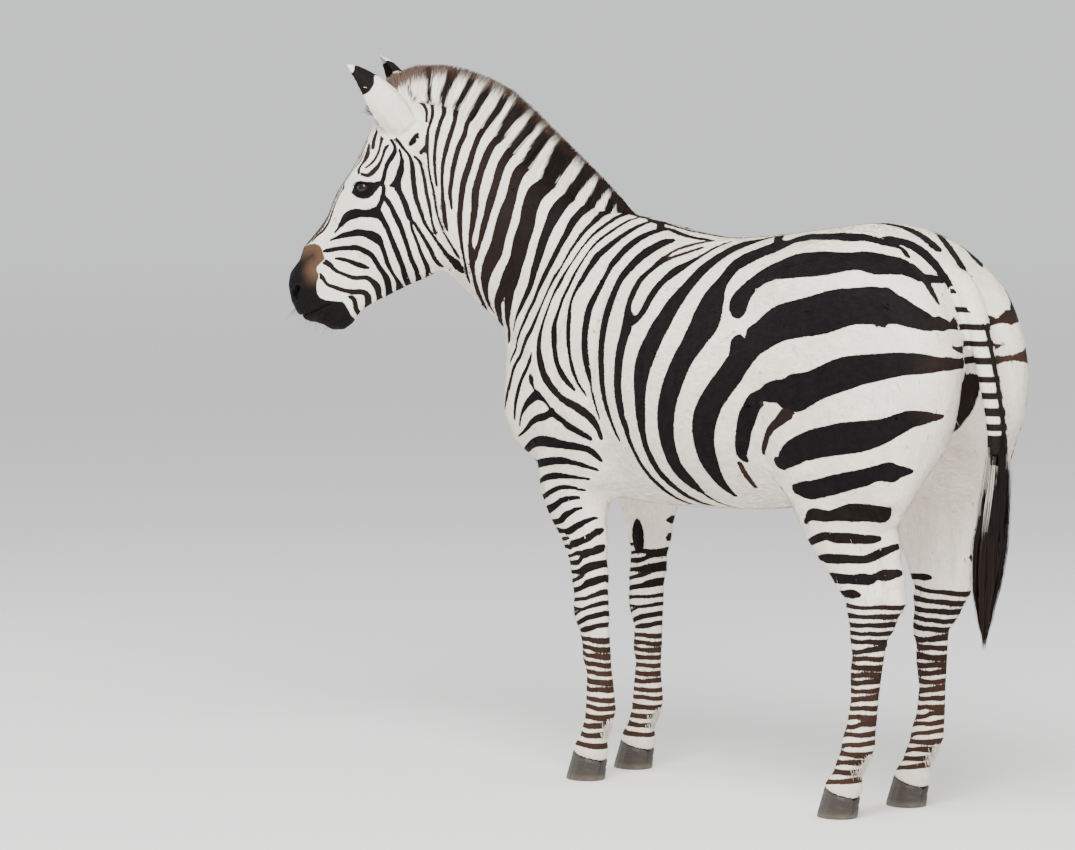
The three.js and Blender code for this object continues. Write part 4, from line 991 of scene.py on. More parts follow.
def flat_marks(bands):
    """Bands as they are in the side view, on the middle plane."""
    marks = Bands()
    for _, _, brown, course in bands:
        line = flowing(course, STEP / 2)
        places = np.stack([np.zeros(len(line)), -line[:, 0], line[:, 1]], 1)
        marks.add(places, np.tile([1.0, 0, 0], (len(line), 1)), line[:, 2], brown, true=True)
    return marks.finish()


def middle_of(values):
    return (values.min() + values.max()) / 2


def leg_middles():
    """For front and hind legs, how far the left one stands ahead of the right one, by height."""
    at, out = SKIN.points, {}
    levels = np.arange(0.04, 0.64, 0.02)
    for front in (True, False):
        shifts = []
        for z in levels:
            ring = (np.abs(at[:, 2] - z) < 0.012) & ((at[:, 1] < BETWEEN_LEGS) == front)
            ring &= at[:, 1] < 0.56
            left, right = (at[ring & (at[:, 0] * side > 0)] for side in (1, -1))
            shifts.append(middle_of(left[:, 1]) - middle_of(right[:, 1]))
        out[front] = np.array(shifts)
    return levels, out


def wander(points, scale, seed):
    """A smooth noise of about one unit over the side view."""
    rng = np.random.default_rng(seed)
    out = np.zeros(len(points))
    for _ in range(6):
        wave = rng.normal(0, 1 / scale, 2)
        out += np.sin(points[:, 1] * wave[0] + points[:, 2] * wave[1] + rng.uniform(0, 6.28))
    return out / 2


def mirrored(at):
    """Points of both sides brought to the left one. The right side's bands lie a little apart."""
    out = at.copy()
    out[:, 0] = np.abs(at[:, 0])
    right = at[:, 0] < 0
    f = -at[:, 1]
    free = smoothstep(0.015, 0.09, -at[:, 0]) * (1 - 0.85 * smoothstep(0.80, 0.95, f))
    out[:, 1] += free * wander(at, 0.16, 3) * 11 * MM
    out[:, 2] += free * wander(at, 0.16, 4) * 9 * MM
    return out, right


def band_values(at, normals):
    """Offset, distance, half width and brown of the bands for points of the straight animal."""
    near, right = mirrored(at)
    out = np.tile(NO_BAND, (len(at), 1))
    low = at[:, 2] < LEG_TOP
    out[~low] = BODY.read(near[~low])
    leg = near[low]
    front = leg[:, 1] < BETWEEN_LEGS
    levels, shifts = LEG_SHIFT
    for ahead in (True, False):
        move = np.interp(leg[:, 2], levels, shifts[ahead]) * (1 - smoothstep(0.60, 0.66, leg[:, 2]))
        leg[:, 1] += np.where((front == ahead) & right[low], move, 0)
    leg[:, 0] = 0
    found = LEGS.read(leg)
    inner = smoothstep(0.2, -0.5, normals[low][:, 0] * np.sign(at[low][:, 0]))
    thin = 1 - inner * smoothstep(0.520, 0.548, at[low][:, 2])
    found[:, 2] = found[:, 2] * thin - (1 - thin) * 2 * MM
    out[low] = found
    return out


BODY = body_marks()
LEGS = flat_marks(LEG_BANDS + ring_bands(True, 331, 76, -3) + ring_bands(False, 482, 76, 2))
CREST = flat_marks(NECK_BANDS)
LEG_SHIFT = leg_middles()

# Dark skin of the muzzle and around the eye: outlines in f and z, in millimetres.
MUZZLE = (
    (1300, 1222), (1212, 1226), (1200, 1228), (1190, 1232), (1176, 1234), (1164, 1230),
    (1158, 1222), (1154, 1210), (1150, 1199), (1158, 1191), (1168, 1182), (1170, 1173),
    (1165, 1164), (1164, 1156), (1168, 1148), (1169, 1136), (1168, 1120), (1162, 1110),
    (1150, 1104), (1130, 1101), (1110, 1099), (1104, 1092), (1098, 1080), (1092, 1066),
    (1084, 1052), (1076, 1030), (1070, 980), (1300, 980),
)
CHESTNUT = (0.447, 0.552)  # f and z of the dark callus inside the right foreleg
EAR_BLOB = ((926, 1497), (938, 1490), (950, 1474), (953, 1464), (946, 1462), (934, 1470), (924, 1484))
EYE_PATCH = (
    (1086, 1354), (1081, 1368), (1074, 1379), (1062, 1383), (1044, 1381), (1030, 1380),
    (1017, 1384), (1011, 1379), (1016, 1370), (1025, 1359), (1032, 1349), (1043, 1342),
    (1055, 1340), (1071, 1344),
)


# ------------------------------------------------------------------ parts of the skin

EARS = {
    1: (np.array([0.056, -0.957, 1.500]), np.array([0.084, -1.096, 1.652])),
    -1: (np.array([-0.056, -0.957, 1.505]), np.array([-0.084, -1.040, 1.670])),
}
TAIL_LINE = np.array([(0.42, -0.650), (0.80, -0.680), (1.00, -0.650), (1.12, -0.590), (1.205, -0.52)])


def ear_places(at):
    """How far along its ear each point is, how near the ear's axis, and if it is on the ear."""
    share, apart = np.zeros(len(at)), np.full(len(at), FAR)
    axis = np.zeros((len(at), 3))
    for side, (base, tip) in EARS.items():
        mine = (at[:, 0] * side > 0) & (at[:, 2] > 1.48) & (at[:, 1] < -0.88)
        way = tip - base
        t = ((at[mine] - base) @ way) / (way @ way)
        share[mine] = t
        axis[mine] = base + t[:, None] * way
        apart[mine] = np.linalg.norm(at[mine] - axis[mine], axis=1)
    return share, axis, (share > 0.04) & (apart < 0.052)


def on_tail(at):
    middle_y = -np.interp(at[:, 2], TAIL_LINE[:, 0], TAIL_LINE[:, 1])
    near = np.hypot(at[:, 0], at[:, 1] - middle_y)
    return (near < 0.048) & (at[:, 2] < 1.19) & (at[:, 2] > 0.60)


PARTS = ("trunk", "head", "tail", "front_left", "front_right", "hind_left", "hind_right",
         "ear_left", "ear_right")


def part_numbers(at):
    """Which part of the body each point is on, as its place in PARTS."""
    out = np.where(-at[:, 1] > 0.93, 1, 0)
    low = at[:, 2] < 0.63
    ahead, left = at[:, 1] < BETWEEN_LEGS, at[:, 0] > 0
    out[low] = (3 + np.where(ahead, 0, 2) + np.where(left, 0, 1))[low]
    out[on_tail(at)] = 2
    ear = ear_places(at)[2]
    out[ear] = np.where(left, 7, 8)[ear]
    return out


# ------------------------------------------------------------------ forms of head and body
# Ridges and folds that the skin adds to the solids: height or depth, half width and course. The
# course is f and z in the side view, in millimetres, and one point makes a dome or a hollow.

SIDE_FORMS = (
    (3.5, 13, ((1096, 1374), (1084, 1394), (1058, 1404), (1032, 1402))),
    (-4.5, 15, ((1030, 1432), (1022, 1446))),
    (3.5, 10, ((1020, 1396), (1000, 1414), (976, 1436))),
    (3.0, 9, ((1032, 1330), (1060, 1318), (1090, 1304), (1116, 1288))),
    (-3.0, 12, ((1030, 1300), (1064, 1294), (1098, 1276))),
    (-2.2, 10, ((1096, 1268), (1078, 1232), (1066, 1192), (1060, 1150))),
    (1.3, 3.4, ((1122, 1288), (1104, 1258), (1090, 1226), (1078, 1186), (1062, 1150))),
    (1.0, 3.0, ((1104, 1258), (1126, 1240), (1150, 1214))),
    (4.0, 34, ((975, 1290), (1000, 1240))),
    (-7.0, 15, ((948, 1462), (926, 1420), (906, 1366), (893, 1310), (888, 1260), (892, 1222))),
    (-2.5, 7, ((1198, 1168), (1186, 1190), (1172, 1214), (1158, 1236))),
    (2.0, 8, ((1110, 1342), (1140, 1300), (1172, 1252))),
    (-2.0, 9, ((1106, 1322), (1134, 1282), (1160, 1240))),
    (-6.0, 20, ((872, 1176), (820, 1110), (760, 1050), (700, 1000), (650, 960))),
    (4.0, 24, ((900, 1330), (840, 1250), (770, 1160), (700, 1080), (640, 1020))),
    (3.5, 16, ((452, 1270), (490, 1180), (530, 1090), (566, 1010))),
    (-4.0, 18, ((420, 1230), (452, 1140), (490, 1060), (520, 1000))),
    (-5.5, 18, ((352, 1190), (336, 1110), (330, 1030), (338, 960), (356, 905))),
    (6.0, 34, ((600, 962),)),
    (4.0, 24, ((470, 960), (430, 900), (400, 860))),
    (5.0, 20, ((372, 848),)),
    (-4.0, 14, ((560, 880), (520, 850), (470, 838), (420, 842))),
    (-7.0, 40, ((-150, 1130), (-185, 1110))),
    (5.0, 24, ((-228, 1206), (-244, 1184))),
    (5.0, 34, ((-268, 850), (-282, 810))),
    (-5.0, 16, ((-180, 960), (-196, 900), (-208, 850))),
    (3.5, 14, ((-160, 920), (-186, 870), (-214, 822))),
    (-5.0, 17, ((-520, 1130), (-556, 1060), (-574, 980), (-566, 890), (-540, 800), (-520, 740))),
    (-3.5, 20, ((-330, 1130), (-350, 1040), (-362, 950), (-356, 870))),
    (4.0, 26, ((-450, 1010), (-460, 900))),
    (-6.0, 12, ((-520, 690), (-550, 640), (-570, 590))),
    (3.0, 14, ((-400, 740), (-430, 680), (-460, 620))),
)
RIBS = ((262, 1120), (222, 1122), (182, 1124), (142, 1124), (102, 1122), (62, 1118), (22, 1110))

# The same for mouth and chin, which run round the front.
FRONT_FORMS = (
    (-4.2, 1.7, MOUTH),
    (1.5, 4.5, ((1140, 1102), (1164, 1090), (1182, 1082), (1198, 1076), (1216, 1072))),
    (1.6, 4.0, ((1144, 1081), (1162, 1074), (1178, 1066), (1192, 1060), (1204, 1056))),
    (-1.6, 4.0, ((1129, 1102), (1126, 1090), (1130, 1079))),
    (-3.0, 6.5, ((1178, 1052), (1166, 1058), (1154, 1062), (1142, 1063))),
    (5.0, 15, ((1140, 1046), (1126, 1050))),
    (-1.2, 3.0, ((1234, 1110), (1216, 1108))),
)


def body_forms(at, normals):
    """How far ridges and folds of both sides raise each point, all seen as on the left side."""
    flat = side_view(at)
    out = np.zeros(len(at))
    for height, width, course in SIDE_FORMS:
        near = course_distance(course, flat)
        out += height * MM * bell(near, width * MM)
    for f, z in RIBS:
        near = course_distance(((f, z), (f - 28, z - 110), (f - 34, z - 220)), flat)
        out += 1.1 * MM * bell(near, 11 * MM)
    out *= smoothstep(0.10, 0.50, normals[:, 0])
    head = flat[:, 0] > 1.0
    for height, width, course in FRONT_FORMS:
        near = course_distance(course, flat[head])
        out[head] += height * MM * bell(near, width * MM)
    ahead = smoothstep(0.3, 0.7, -normals[:, 1]) * smoothstep(0.80, 0.86, at[:, 2])
    chest = ahead * (1 - smoothstep(0.98, 1.06, at[:, 2])) * (flat[:, 0] > 0.5)
    out -= 7 * MM * bell(at[:, 0], 14 * MM) * chest
    croup = smoothstep(-0.20, -0.30, flat[:, 0]) * (at[:, 2] > 1.1) * (flat[:, 0] > -0.48)
    out -= 3 * MM * bell(at[:, 0], 12 * MM) * croup
    return out


# The eye: a ball, and the slit between the lids over it, in arcs of the ball along and up.
EYE_RADIUS = 20.5 * MM
EYE_LOOK = unit(np.array([0.94, -0.30, 0.12]))
SLIT_AHEAD = unit(np.cross(EYE_LOOK, [0, -0.14, 0.99]))
SLIT_UP = np.cross(SLIT_AHEAD, EYE_LOOK)
SLIT_HALF = 19
SLIT_TOP, SLIT_LOW = 8.5, 10.5


def slit():
    """The outline of the opening between the lids."""
    e = np.linspace(-1, 1, 25)
    top = np.stack([SLIT_HALF * e, SLIT_TOP * (1 - np.abs(e) ** 2.6) ** 0.8], 1)
    low = np.stack([SLIT_HALF * e, -SLIT_LOW * (1 - np.abs(e) ** 2.0) ** 0.8], 1)
    return np.concatenate([top, low[-2:0:-1]]).tolist()


def about_eye(at):
    """Points near the left eye by distance from its middle and arcs ahead and up over the ball."""
    apart = at - EYE_AT
    far = np.linalg.norm(apart, axis=1)
    way = apart / far[:, None]
    turn = np.arccos(np.clip(way @ EYE_LOOK, -1, 1))
    ahead, up = way @ SLIT_AHEAD, way @ SLIT_UP
    flat = unit(np.stack([ahead, up], 1)) * (turn * EYE_RADIUS)[:, None]
    return far, way, flat


def with_lids(at):
    """The skin about the left eye drawn over the ball as lids."""
    out = at.copy()
    near = np.flatnonzero(np.linalg.norm(at - EYE_AT, axis=1) < 0.075)
    far, way, flat = about_eye(at[near])
    apart = outline_distance(slit(), flat) / MM
    upper = smoothstep(-4, 4, flat[:, 1] / MM)
    ball = EYE_RADIUS / MM
    lid = np.interp(apart, [-3.2, -1.6, -0.4, 0.6, 2.2, 6.0, 9.0],
                    [ball - 3.5, ball - 1.6, ball + 0.9, ball + 2.3, ball + 2.8, ball + 3.0, ball + 3.0])
    lid += 0.8 * bell(apart - 1.6, 1.2)
    lid -= (1.6 * upper + 0.6) * bell(apart - 7.6 - upper, 1.3) + 0.5 * bell(apart - 4.6, 0.9)
    lid += 0.8 * upper * bell(apart - 11, 3)
    share = 1 - smoothstep(7 + 3 * upper, 16 + 5 * upper, apart)
    radius = far * (1 - share) + lid * MM * share
    out[near] = EYE_AT + way * radius[:, None]
    return out


# The nostril: an opening like a comma on the corner of the muzzle, along and across.
NOSTRIL_OUT = unit(np.array([0.72, -0.69, 0.02]))
NOSTRIL_ALONG = unit(np.array([0.42, 0.40, 0.81]))
NOSTRIL_ACROSS = np.cross(NOSTRIL_ALONG, NOSTRIL_OUT)
NOSTRIL = (
    (20, 2), (17, 6), (12, 7.5), (4, 7), (-4, 7), (-11, 9), (-17, 8), (-20, 3), (-18, -3),
    (-12, -5.5), (-4, -5), (4, -3), (12, -2.5), (17, -2),
)
NOSTRIL_DEPTH = 17


def about_nostril(at):
    apart = at - NOSTRIL_AT
    flat = np.stack([apart @ NOSTRIL_ALONG, apart @ NOSTRIL_ACROSS], 1)
    far = outline_distance(NOSTRIL, flat) / MM
    return np.where(np.abs(apart @ NOSTRIL_OUT) < 0.03, far, 99.0)


def with_nostril(at):
    """The skin about the left nostril drawn in, with a rim round it."""
    far = about_nostril(at)
    inward = np.interp(far, [-5.5, -2.5, -1.0, 0.0, 1.2], [NOSTRIL_DEPTH, 11, 6, 1.8, 0])
    rim = 2.6 * bell(far - 3.6, 2.4) - 1.2 * bell(far - 9.5, 2.5)
    rim = np.where(far > 0, rim, 2.6 * bell(-3.6, 2.4))
    way = unit(NOSTRIL_OUT * 0.85 + np.array([0.15, 0, -0.5]))
    return at + NOSTRIL_OUT * (rim * MM)[:, None] - way * (inward * MM)[:, None]


def leg_forms(at, normals):
    """How far tendons, joints and coronets raise each point of the legs."""
    levels, rings = leg_rings()
    out = np.zeros(len(at))
    low = (at[:, 2] < 0.62) & ~on_tail(at)
    for (front, side), rows in rings.items():
        mine = np.flatnonzero(low & ((at[:, 1] < BETWEEN_LEGS) == front) & (at[:, 0] * side > 0))
        z = at[mine, 2]
        back = (at[mine, 1] - np.interp(z, levels, rows[:, 1])) / np.interp(z, levels, rows[:, 2])
        beside = smoothstep(0.25, 0.8, np.abs(normals[mine, 0]))
        top, joint = (0.400, 0.455) if front else (0.460, 0.520)
        shaft = smoothstep(0.165, 0.215, z) * smoothstep(top + 0.015, top - 0.035, z)
        raised = -3.0 * bell(back - 0.22, 0.17) * shaft * beside
        raised += 0.9 * bell(back - 0.62, 0.20) * shaft * beside
        ahead = smoothstep(0.0, -0.5, back)
        raised += 1.6 * ahead * (bell(z - joint, 0.020) + bell(z - joint + 0.045, 0.014))
        raised -= 1.6 * ahead * bell(z - joint + 0.026, 0.007)
        raised += 2.4 * smoothstep(0.3, 0.8, back) * bell(z - 0.140, 0.018)
        raised -= 1.8 * bell(z - 0.106, 0.012) * smoothstep(0.2, 0.7, np.abs(back))
        raised += 1.6 * bell(z - 0.070, 0.008)
        if not front:
            string = smoothstep(0.62, 0.56, z) * smoothstep(0.50, 0.54, z)
            raised -= 5.0 * bell(back - 0.45, 0.20) * string * beside
        out[mine] = raised * MM
    return out


def shaped(at, normals):
    """Points of the skin with all of these forms."""
    side = np.stack([np.where(at[:, 0] < 0, -1.0, 1.0), np.ones(len(at)), np.ones(len(at))], 1)
    both, out = at * side, normals * side
    both = both + out * (body_forms(both, out) + leg_forms(at, normals))[:, None]
    return with_nostril(with_lids(both)) * side


# ------------------------------------------------------------------ colour and lie of the coat

TAIL_BARS = (
    (1.175, 12), (1.135, 13), (1.098, 14), (1.062, 13), (1.025, 16), (0.985, 14), (0.950, 15),
    (0.915, 19), (0.882, 16),
)


def dark_distance(at, normals, parts, form):
    """How far points are outside the dark patches of muzzle, eyes, ears and tail, and of the dark skin
    under the tail, which also stands for painted shade in the cleft between tail and buttocks, and how
    brown those are."""
    seen = side_view(form)
    out = np.minimum(outline_distance(MUZZLE, seen), outline_distance(EYE_PATCH, seen))
    blob = np.where(normals[:, 0] * at[:, 0] > 0, outline_distance(EAR_BLOB, seen), FAR)
    out = np.minimum(out, blob)
    out = np.where((parts == 1) | (blob < 0), out, FAR)
    levels, shifts = LEG_SHIFT
    patch_f = CHESTNUT[0] + np.where(at[:, 0] > 0, np.interp(at[:, 2], levels, shifts[True]) * -1, 0)
    patch = np.hypot((-at[:, 1] - patch_f) / 0.016, (at[:, 2] - CHESTNUT[1]) / 0.043) - 1
    inside_leg = (at[:, 1] < BETWEEN_LEGS) & (at[:, 2] < 0.62) & (normals[:, 0] * at[:, 0] < 0)
    out = np.minimum(out, np.where(inside_leg, patch * 0.018, FAR))
    inside = -outline_distance(MUZZLE, seen)
    high = smoothstep(1.196, 1.224, seen[:, 1]) * 0.75
    rim = smoothstep(0.042, 0.006, inside) * smoothstep(1.125, 1.170, seen[:, 1])
    brown = np.maximum(high, rim) * (parts == 1) * (seen[:, 0] > 1.14)
    share, axis, _ = ear_places(at)
    ear = parts >= 7
    outer = ((at - axis) * normals).sum(1) > 0
    length = 0.21
    band = np.abs(share - 0.76 - 0.05 * np.sin(at[:, 0] * 90)) - 0.115
    band = np.where(outer, band, np.abs(share - 0.80) - 0.09)
    out = np.where(ear, band * length, out)
    brown = np.where(ear, 0.02, brown)
    tail = parts == 2
    z = at[:, 2]
    bars = np.min([np.abs(z - level) - size / 2 * MM for level, size in TAIL_BARS], axis=0)
    back = -np.interp(z, TAIL_LINE[:, 0], TAIL_LINE[:, 1])
    ridge = np.abs(at[:, 0]) + 0.3 * np.maximum(back - at[:, 1], 0) - 8 * MM
    out = np.where(tail, np.minimum(np.minimum(bars, ridge), z - 0.865), out)
    brown = np.where(tail, 0.08, brown)
    # Dark skin under the tail, drawn wide over the cleft between tail and buttocks: partly the real dark
    # skin, partly painted shade in that cleft.
    dark_skin_and_shade_under_tail = (parts == 0) & (at[:, 1] > 0.50)
    across = np.interp(z, [0.78, 0.86, 1.00, 1.07], [0.0, 0.030, 0.038, 0.0])
    inside = np.maximum(np.abs(at[:, 0]) - across, np.abs(z - 0.925) - 0.145)
    out = np.where(dark_skin_and_shade_under_tail, inside, out)
    brown = np.where(dark_skin_and_shade_under_tail, 0.1, brown)
    return out, brown


def rustiness(at, widths):
    """How brown the bands are by place: on the buttocks, low on the legs, and where thin."""
    f, z = -at[:, 1], at[:, 2]
    rump = smoothstep(-0.585, -0.640, f) * smoothstep(0.5, 0.8, z)
    rump = rump * (0.30 + 0.70 * smoothstep(0.04, -0.06, at[:, 0]))
    low = 0.35 * smoothstep(0.42, 0.25, z) * smoothstep(0.0, 0.08, z)
    fine = 0.55 * smoothstep(3.4 * MM, 1.2 * MM, widths)
    return np.clip(np.maximum(np.maximum(rump * 0.8, low), fine), 0, 1)


def lie(at, normals, parts):
    """The way the coat's hair points."""
    f, z = -at[:, 1], at[:, 2]
    x = np.abs(at[:, 0])
    face = smoothstep(0.93, 1.02, f)
    front = smoothstep(0.055, 0.02, x) * smoothstep(1.20, 1.30, z) * face
    cheek = np.array([0, 0.35, -0.94])
    nose = np.array([0, -0.50, -0.86])
    neck = smoothstep(0.45, 0.62, f) * (1 - face)
    leg = smoothstep(0.72, 0.56, z)
    way = np.array([0, 1.0, -0.35]) * (1 - neck - face)[:, None]
    way = way + np.array([0, 0.62, -0.78]) * neck[:, None]
    way = way + (cheek * (1 - front)[:, None] + nose * front[:, None]) * face[:, None]
    chest = smoothstep(0.60, 0.70, f) * smoothstep(1.15, 0.95, z)
    way = way * (1 - chest)[:, None] + np.array([0, 0.3, -0.95]) * chest[:, None]
    rear = smoothstep(-0.48, -0.60, f)
    way = way * (1 - rear)[:, None] + np.array([0, 0.25, -0.97]) * rear[:, None]
    way = way * (1 - leg)[:, None] + np.array([0, 0.12, -0.99]) * leg[:, None]
    way[parts == 2] = (0, 0.1, -1)
    for number, side in ((7, 1), (8, -1)):
        base, tip = EARS[side]
        way[parts == number] = unit(tip - base)
    way = way - normals * (way * normals).sum(1, keepdims=True)
    return unit(way + normals * 1e-6)


def coat_values(at, normals, form, apart, least):
    """All that the coat's material reads, for points of the straight animal. form is where its
    forms move them, apart how far apart the points are, and least how far past its edge a band
    may reach."""
    parts = part_numbers(at)
    band = band_values(at, normals)
    band[parts >= 7] = NO_BAND
    band[parts == 2] = NO_BAND
    muzzle_or_ear, patch_brown = dark_distance(at, normals, parts, form)
    band[(parts == 1) & (outline_distance(MUZZLE, side_view(form)) < 0)] = NO_BAND
    # No bands on the dark skin under the tail, which is partly painted shade in the cleft between tail and
    # buttocks.
    dark_skin_and_shade_under_tail = (parts == 0) & (at[:, 1] > 0.50) & (muzzle_or_ear < 0)
    band[dark_skin_and_shade_under_tail] = NO_BAND
    f, z = -at[:, 1], at[:, 2]
    reach = 0.6 * apart * smoothstep(0.95, 0.50, band[:, 2] / apart)
    reach = np.where(band[:, 4] > 0, 0.5 * MM, np.maximum(reach, least))
    brown = np.clip(band[:, 3] * 0.6 + rustiness(at, band[:, 2]), 0, 1)
    _, axis, _ = ear_places(at)
    inner_ear = (parts >= 7) & (((at - axis) * normals).sum(1) < 0)
    dust = smoothstep(0.55, 0.15, z) * 0.6 + 0.35 * smoothstep(-0.45, -0.6, f) * smoothstep(1.0, 0.8, z)
    way = lie(at, normals, parts)
    return {
        "band": np.stack([band[:, 0], band[:, 1], band[:, 2]], 1) * 1000,
        "tone": np.stack([(band[:, 2] + reach) * 1000, brown, muzzle_or_ear * 1000], 1),
        "ground": np.stack([dust, patch_brown, inner_ear * 1.0], 1),
        "place": at,
        "lie": way,
    }


def set_values(mesh, values):
    for name, array in values.items():
        layer = mesh.attributes.new(name, "FLOAT_VECTOR", "POINT")
        layer.data.foreach_set("vector", np.asarray(array, np.float32).ravel())


# ------------------------------------------------------------------ unwrap of the skin

WIDE = {"head": 1.7, "ear_left": 1.5, "ear_right": 1.5}  # room in the unwrap beside the body's
AXES = np.array([[1, 0, 0], [-1, 0, 0], [0, 1, 0], [0, -1, 0], [0, 0, 1], [0, 0, -1]], float)


class Unwrap:
    """Flat charts of the skin, one for each part and way it faces, packed into the unit square."""

    def __init__(self, at, corners):
        middles = at[corners].mean(1)
        parts = part_numbers(middles)
        faces = np.cross(at[corners[:, 1]] - at[corners[:, 0]], at[corners[:, 2]] - at[corners[:, 0]])
        facing = np.argmax(unit(faces) @ AXES.T, axis=1)
        chart = parts * 6 + facing
        self.uv = np.zeros((len(corners), 3, 2))
        boxes = []
        for number in np.unique(chart):
            mine = np.flatnonzero(chart == number)
            flat = at[corners[mine]][..., [k for k in range(3) if k != (number % 6) // 2]]
            flat = flat * WIDE.get(PARTS[number // 6], 1.0)
            low = flat.reshape(-1, 2).min(0)
            size = flat.reshape(-1, 2).max(0) - low
            self.uv[mine] = flat - low
            boxes.append((number, mine, size))
        boxes.sort(key=lambda box: -box[2][1])
        side = self.packed(boxes)
        self.uv /= side

    def packed(self, boxes):
        """Lays the charts out in rows and returns the side of the square that they fill."""
        gap = 0.02
        for side in np.arange(2.0, 9.0, 0.05):
            x = y = row = 0
            places = []
            for _, _, size in boxes:
                if x + size[0] + gap > side:
                    x, y, row = 0, y + row + gap, 0
                places.append((x, y))
                x += size[0] + gap
                row = max(row, size[1])
            if y + row <= side:
                break
        for (_, mine, _), place in zip(boxes, places):
            self.uv[mine] += np.array(place) + gap / 4
        return side + gap

    def patches(self, faces, weights):
        """The places in the unwrap of points on the skin's triangles."""
        return (self.uv[faces] * weights[..., None]).sum(1)


def set_unwrap(mesh, uv):
    layer = mesh.uv_layers.new(name="OFBake")
    layer.data.foreach_set("uv", np.asarray(uv, np.float32).ravel())


# ------------------------------------------------------------------ locks of hair

def blades(roots, courses, widths, facing):
    """Flat tapering blades. Courses are [blade, station, xyz] offsets from the roots, widths are
    [blade, station], and facing is the direction that each blade's flat side turns to."""
    count, stations = widths.shape
    line = roots[:, None] + courses
    along = unit(np.gradient(courses, axis=1))
    across = unit(np.cross(along, facing[:, None]))
    left = line - across * widths[..., None] / 2
    right = line + across * widths[..., None] / 2
    points = np.stack([left, right], 2).reshape(-1, 3)
    first = (np.arange(count) * stations * 2)[:, None] + np.arange(stations - 1) * 2
    faces = first[..., None] + np.array([0, 1, 3, 2])
    return points, faces.reshape(-1, 4)


# Mane: where its roots lie on the crest, and how the hair leans.
MANE_FROM, MANE_TO = 0.40, 1.022
MANE_HALF = 0.023
MANE_LOCKS = 13000
MANE_STATIONS = 7
FORELOCKS = 420


def crest_direction(f):
    """The way up from the crest at f, square to it, on the straight animal."""
    ahead = np.array([SKIN.hit((0, -v, 2.5), (0, 0, -1))[0] for v in (f + 0.03, f - 0.03)])
    along = unit(ahead[0] - ahead[1])
    return np.array([0, along[2], -along[1]])


def mane():
    """The upright mane, cut off by its solid: mesh arrays, hue and unwrap."""
    outline = cad_surface("mane")
    marks = np.linspace(MANE_FROM, MANE_TO, 40)
    ways = np.array([crest_direction(f) for f in marks])
    tops = []
    for f, way in zip(marks, ways):
        root = SKIN.hit((0, -f, 2.5), (0, 0, -1))[0]
        met = outline.hit(root + way * 0.5, -way, 0.5)
        tops.append(0.01 if met is None else np.linalg.norm(met[0] - root))
    t = np.linspace(0, 1, MANE_STATIONS)
    roots, courses, widths, facing, heights = [], [], [], [], []
    for _ in range(MANE_LOCKS):
        f = RANDOM.uniform(MANE_FROM, MANE_TO)
        x = MANE_HALF * RANDOM.uniform(-1, 1)
        root = SKIN.hit((x, -f, 2.5), (0, 0, -1))[0]
        way = np.array([np.interp(f, marks, ways[:, k]) for k in range(3)])
        way = unit(way + np.array([RANDOM.normal(0, 0.03) - x * 5, RANDOM.normal(0, 0.028), 0]))
        met = outline.hit(root + way * 0.5, -way, 0.5)
        if met is None:
            continue
        length = np.linalg.norm(met[0] - root) * RANDOM.uniform(0.90, 0.995)
        if length < 0.008:
            continue
        course = t[:, None] * way * length
        course[:, 1] += RANDOM.normal(0, 0.03) * length * (t * (1 - t)) * 2
        roots.append(root - way * 0.004)
        courses.append(course)
        widths.append(RANDOM.uniform(2.2, 4.4) * MM * np.array([1, 1, 1, 0.9, 0.75, 0.5, 0.12]))
        turn = RANDOM.uniform(-0.9, 0.9)
        facing.append([math.cos(turn), math.sin(turn), 0])
        heights.append((length, np.interp(f, marks, tops)))
    for _ in range(FORELOCKS):
        f = RANDOM.uniform(0.995, 1.030)
        x = RANDOM.normal(0, 0.010)
        root = SKIN.hit((x, -f, 2.5), (0, 0, -1))[0]
        length = RANDOM.uniform(0.030, 0.056)
        way = unit(np.array([RANDOM.normal(0, 0.16) + x * 4, -0.80, 0.62 + RANDOM.normal(0, 0.10)]))
        course = t[:, None] * way * length
        course[:, 2] -= 0.25 * length * t**2
        roots.append(root - way * 0.004)
        courses.append(course)
        widths.append(RANDOM.uniform(2.0, 3.6) * MM * np.array([1, 1, 1, 0.9, 0.7, 0.45, 0.12]))
        facing.append([RANDOM.uniform(-1, 1), 0.5, 1.0])
        heights.append((length, length * 0.4))
    points, faces = blades(*(np.array(v) for v in (roots, courses, widths, facing)))
    hue, uv = mane_hue(points, np.array(heights))
    return points, faces, hue, uv[faces.ravel()]


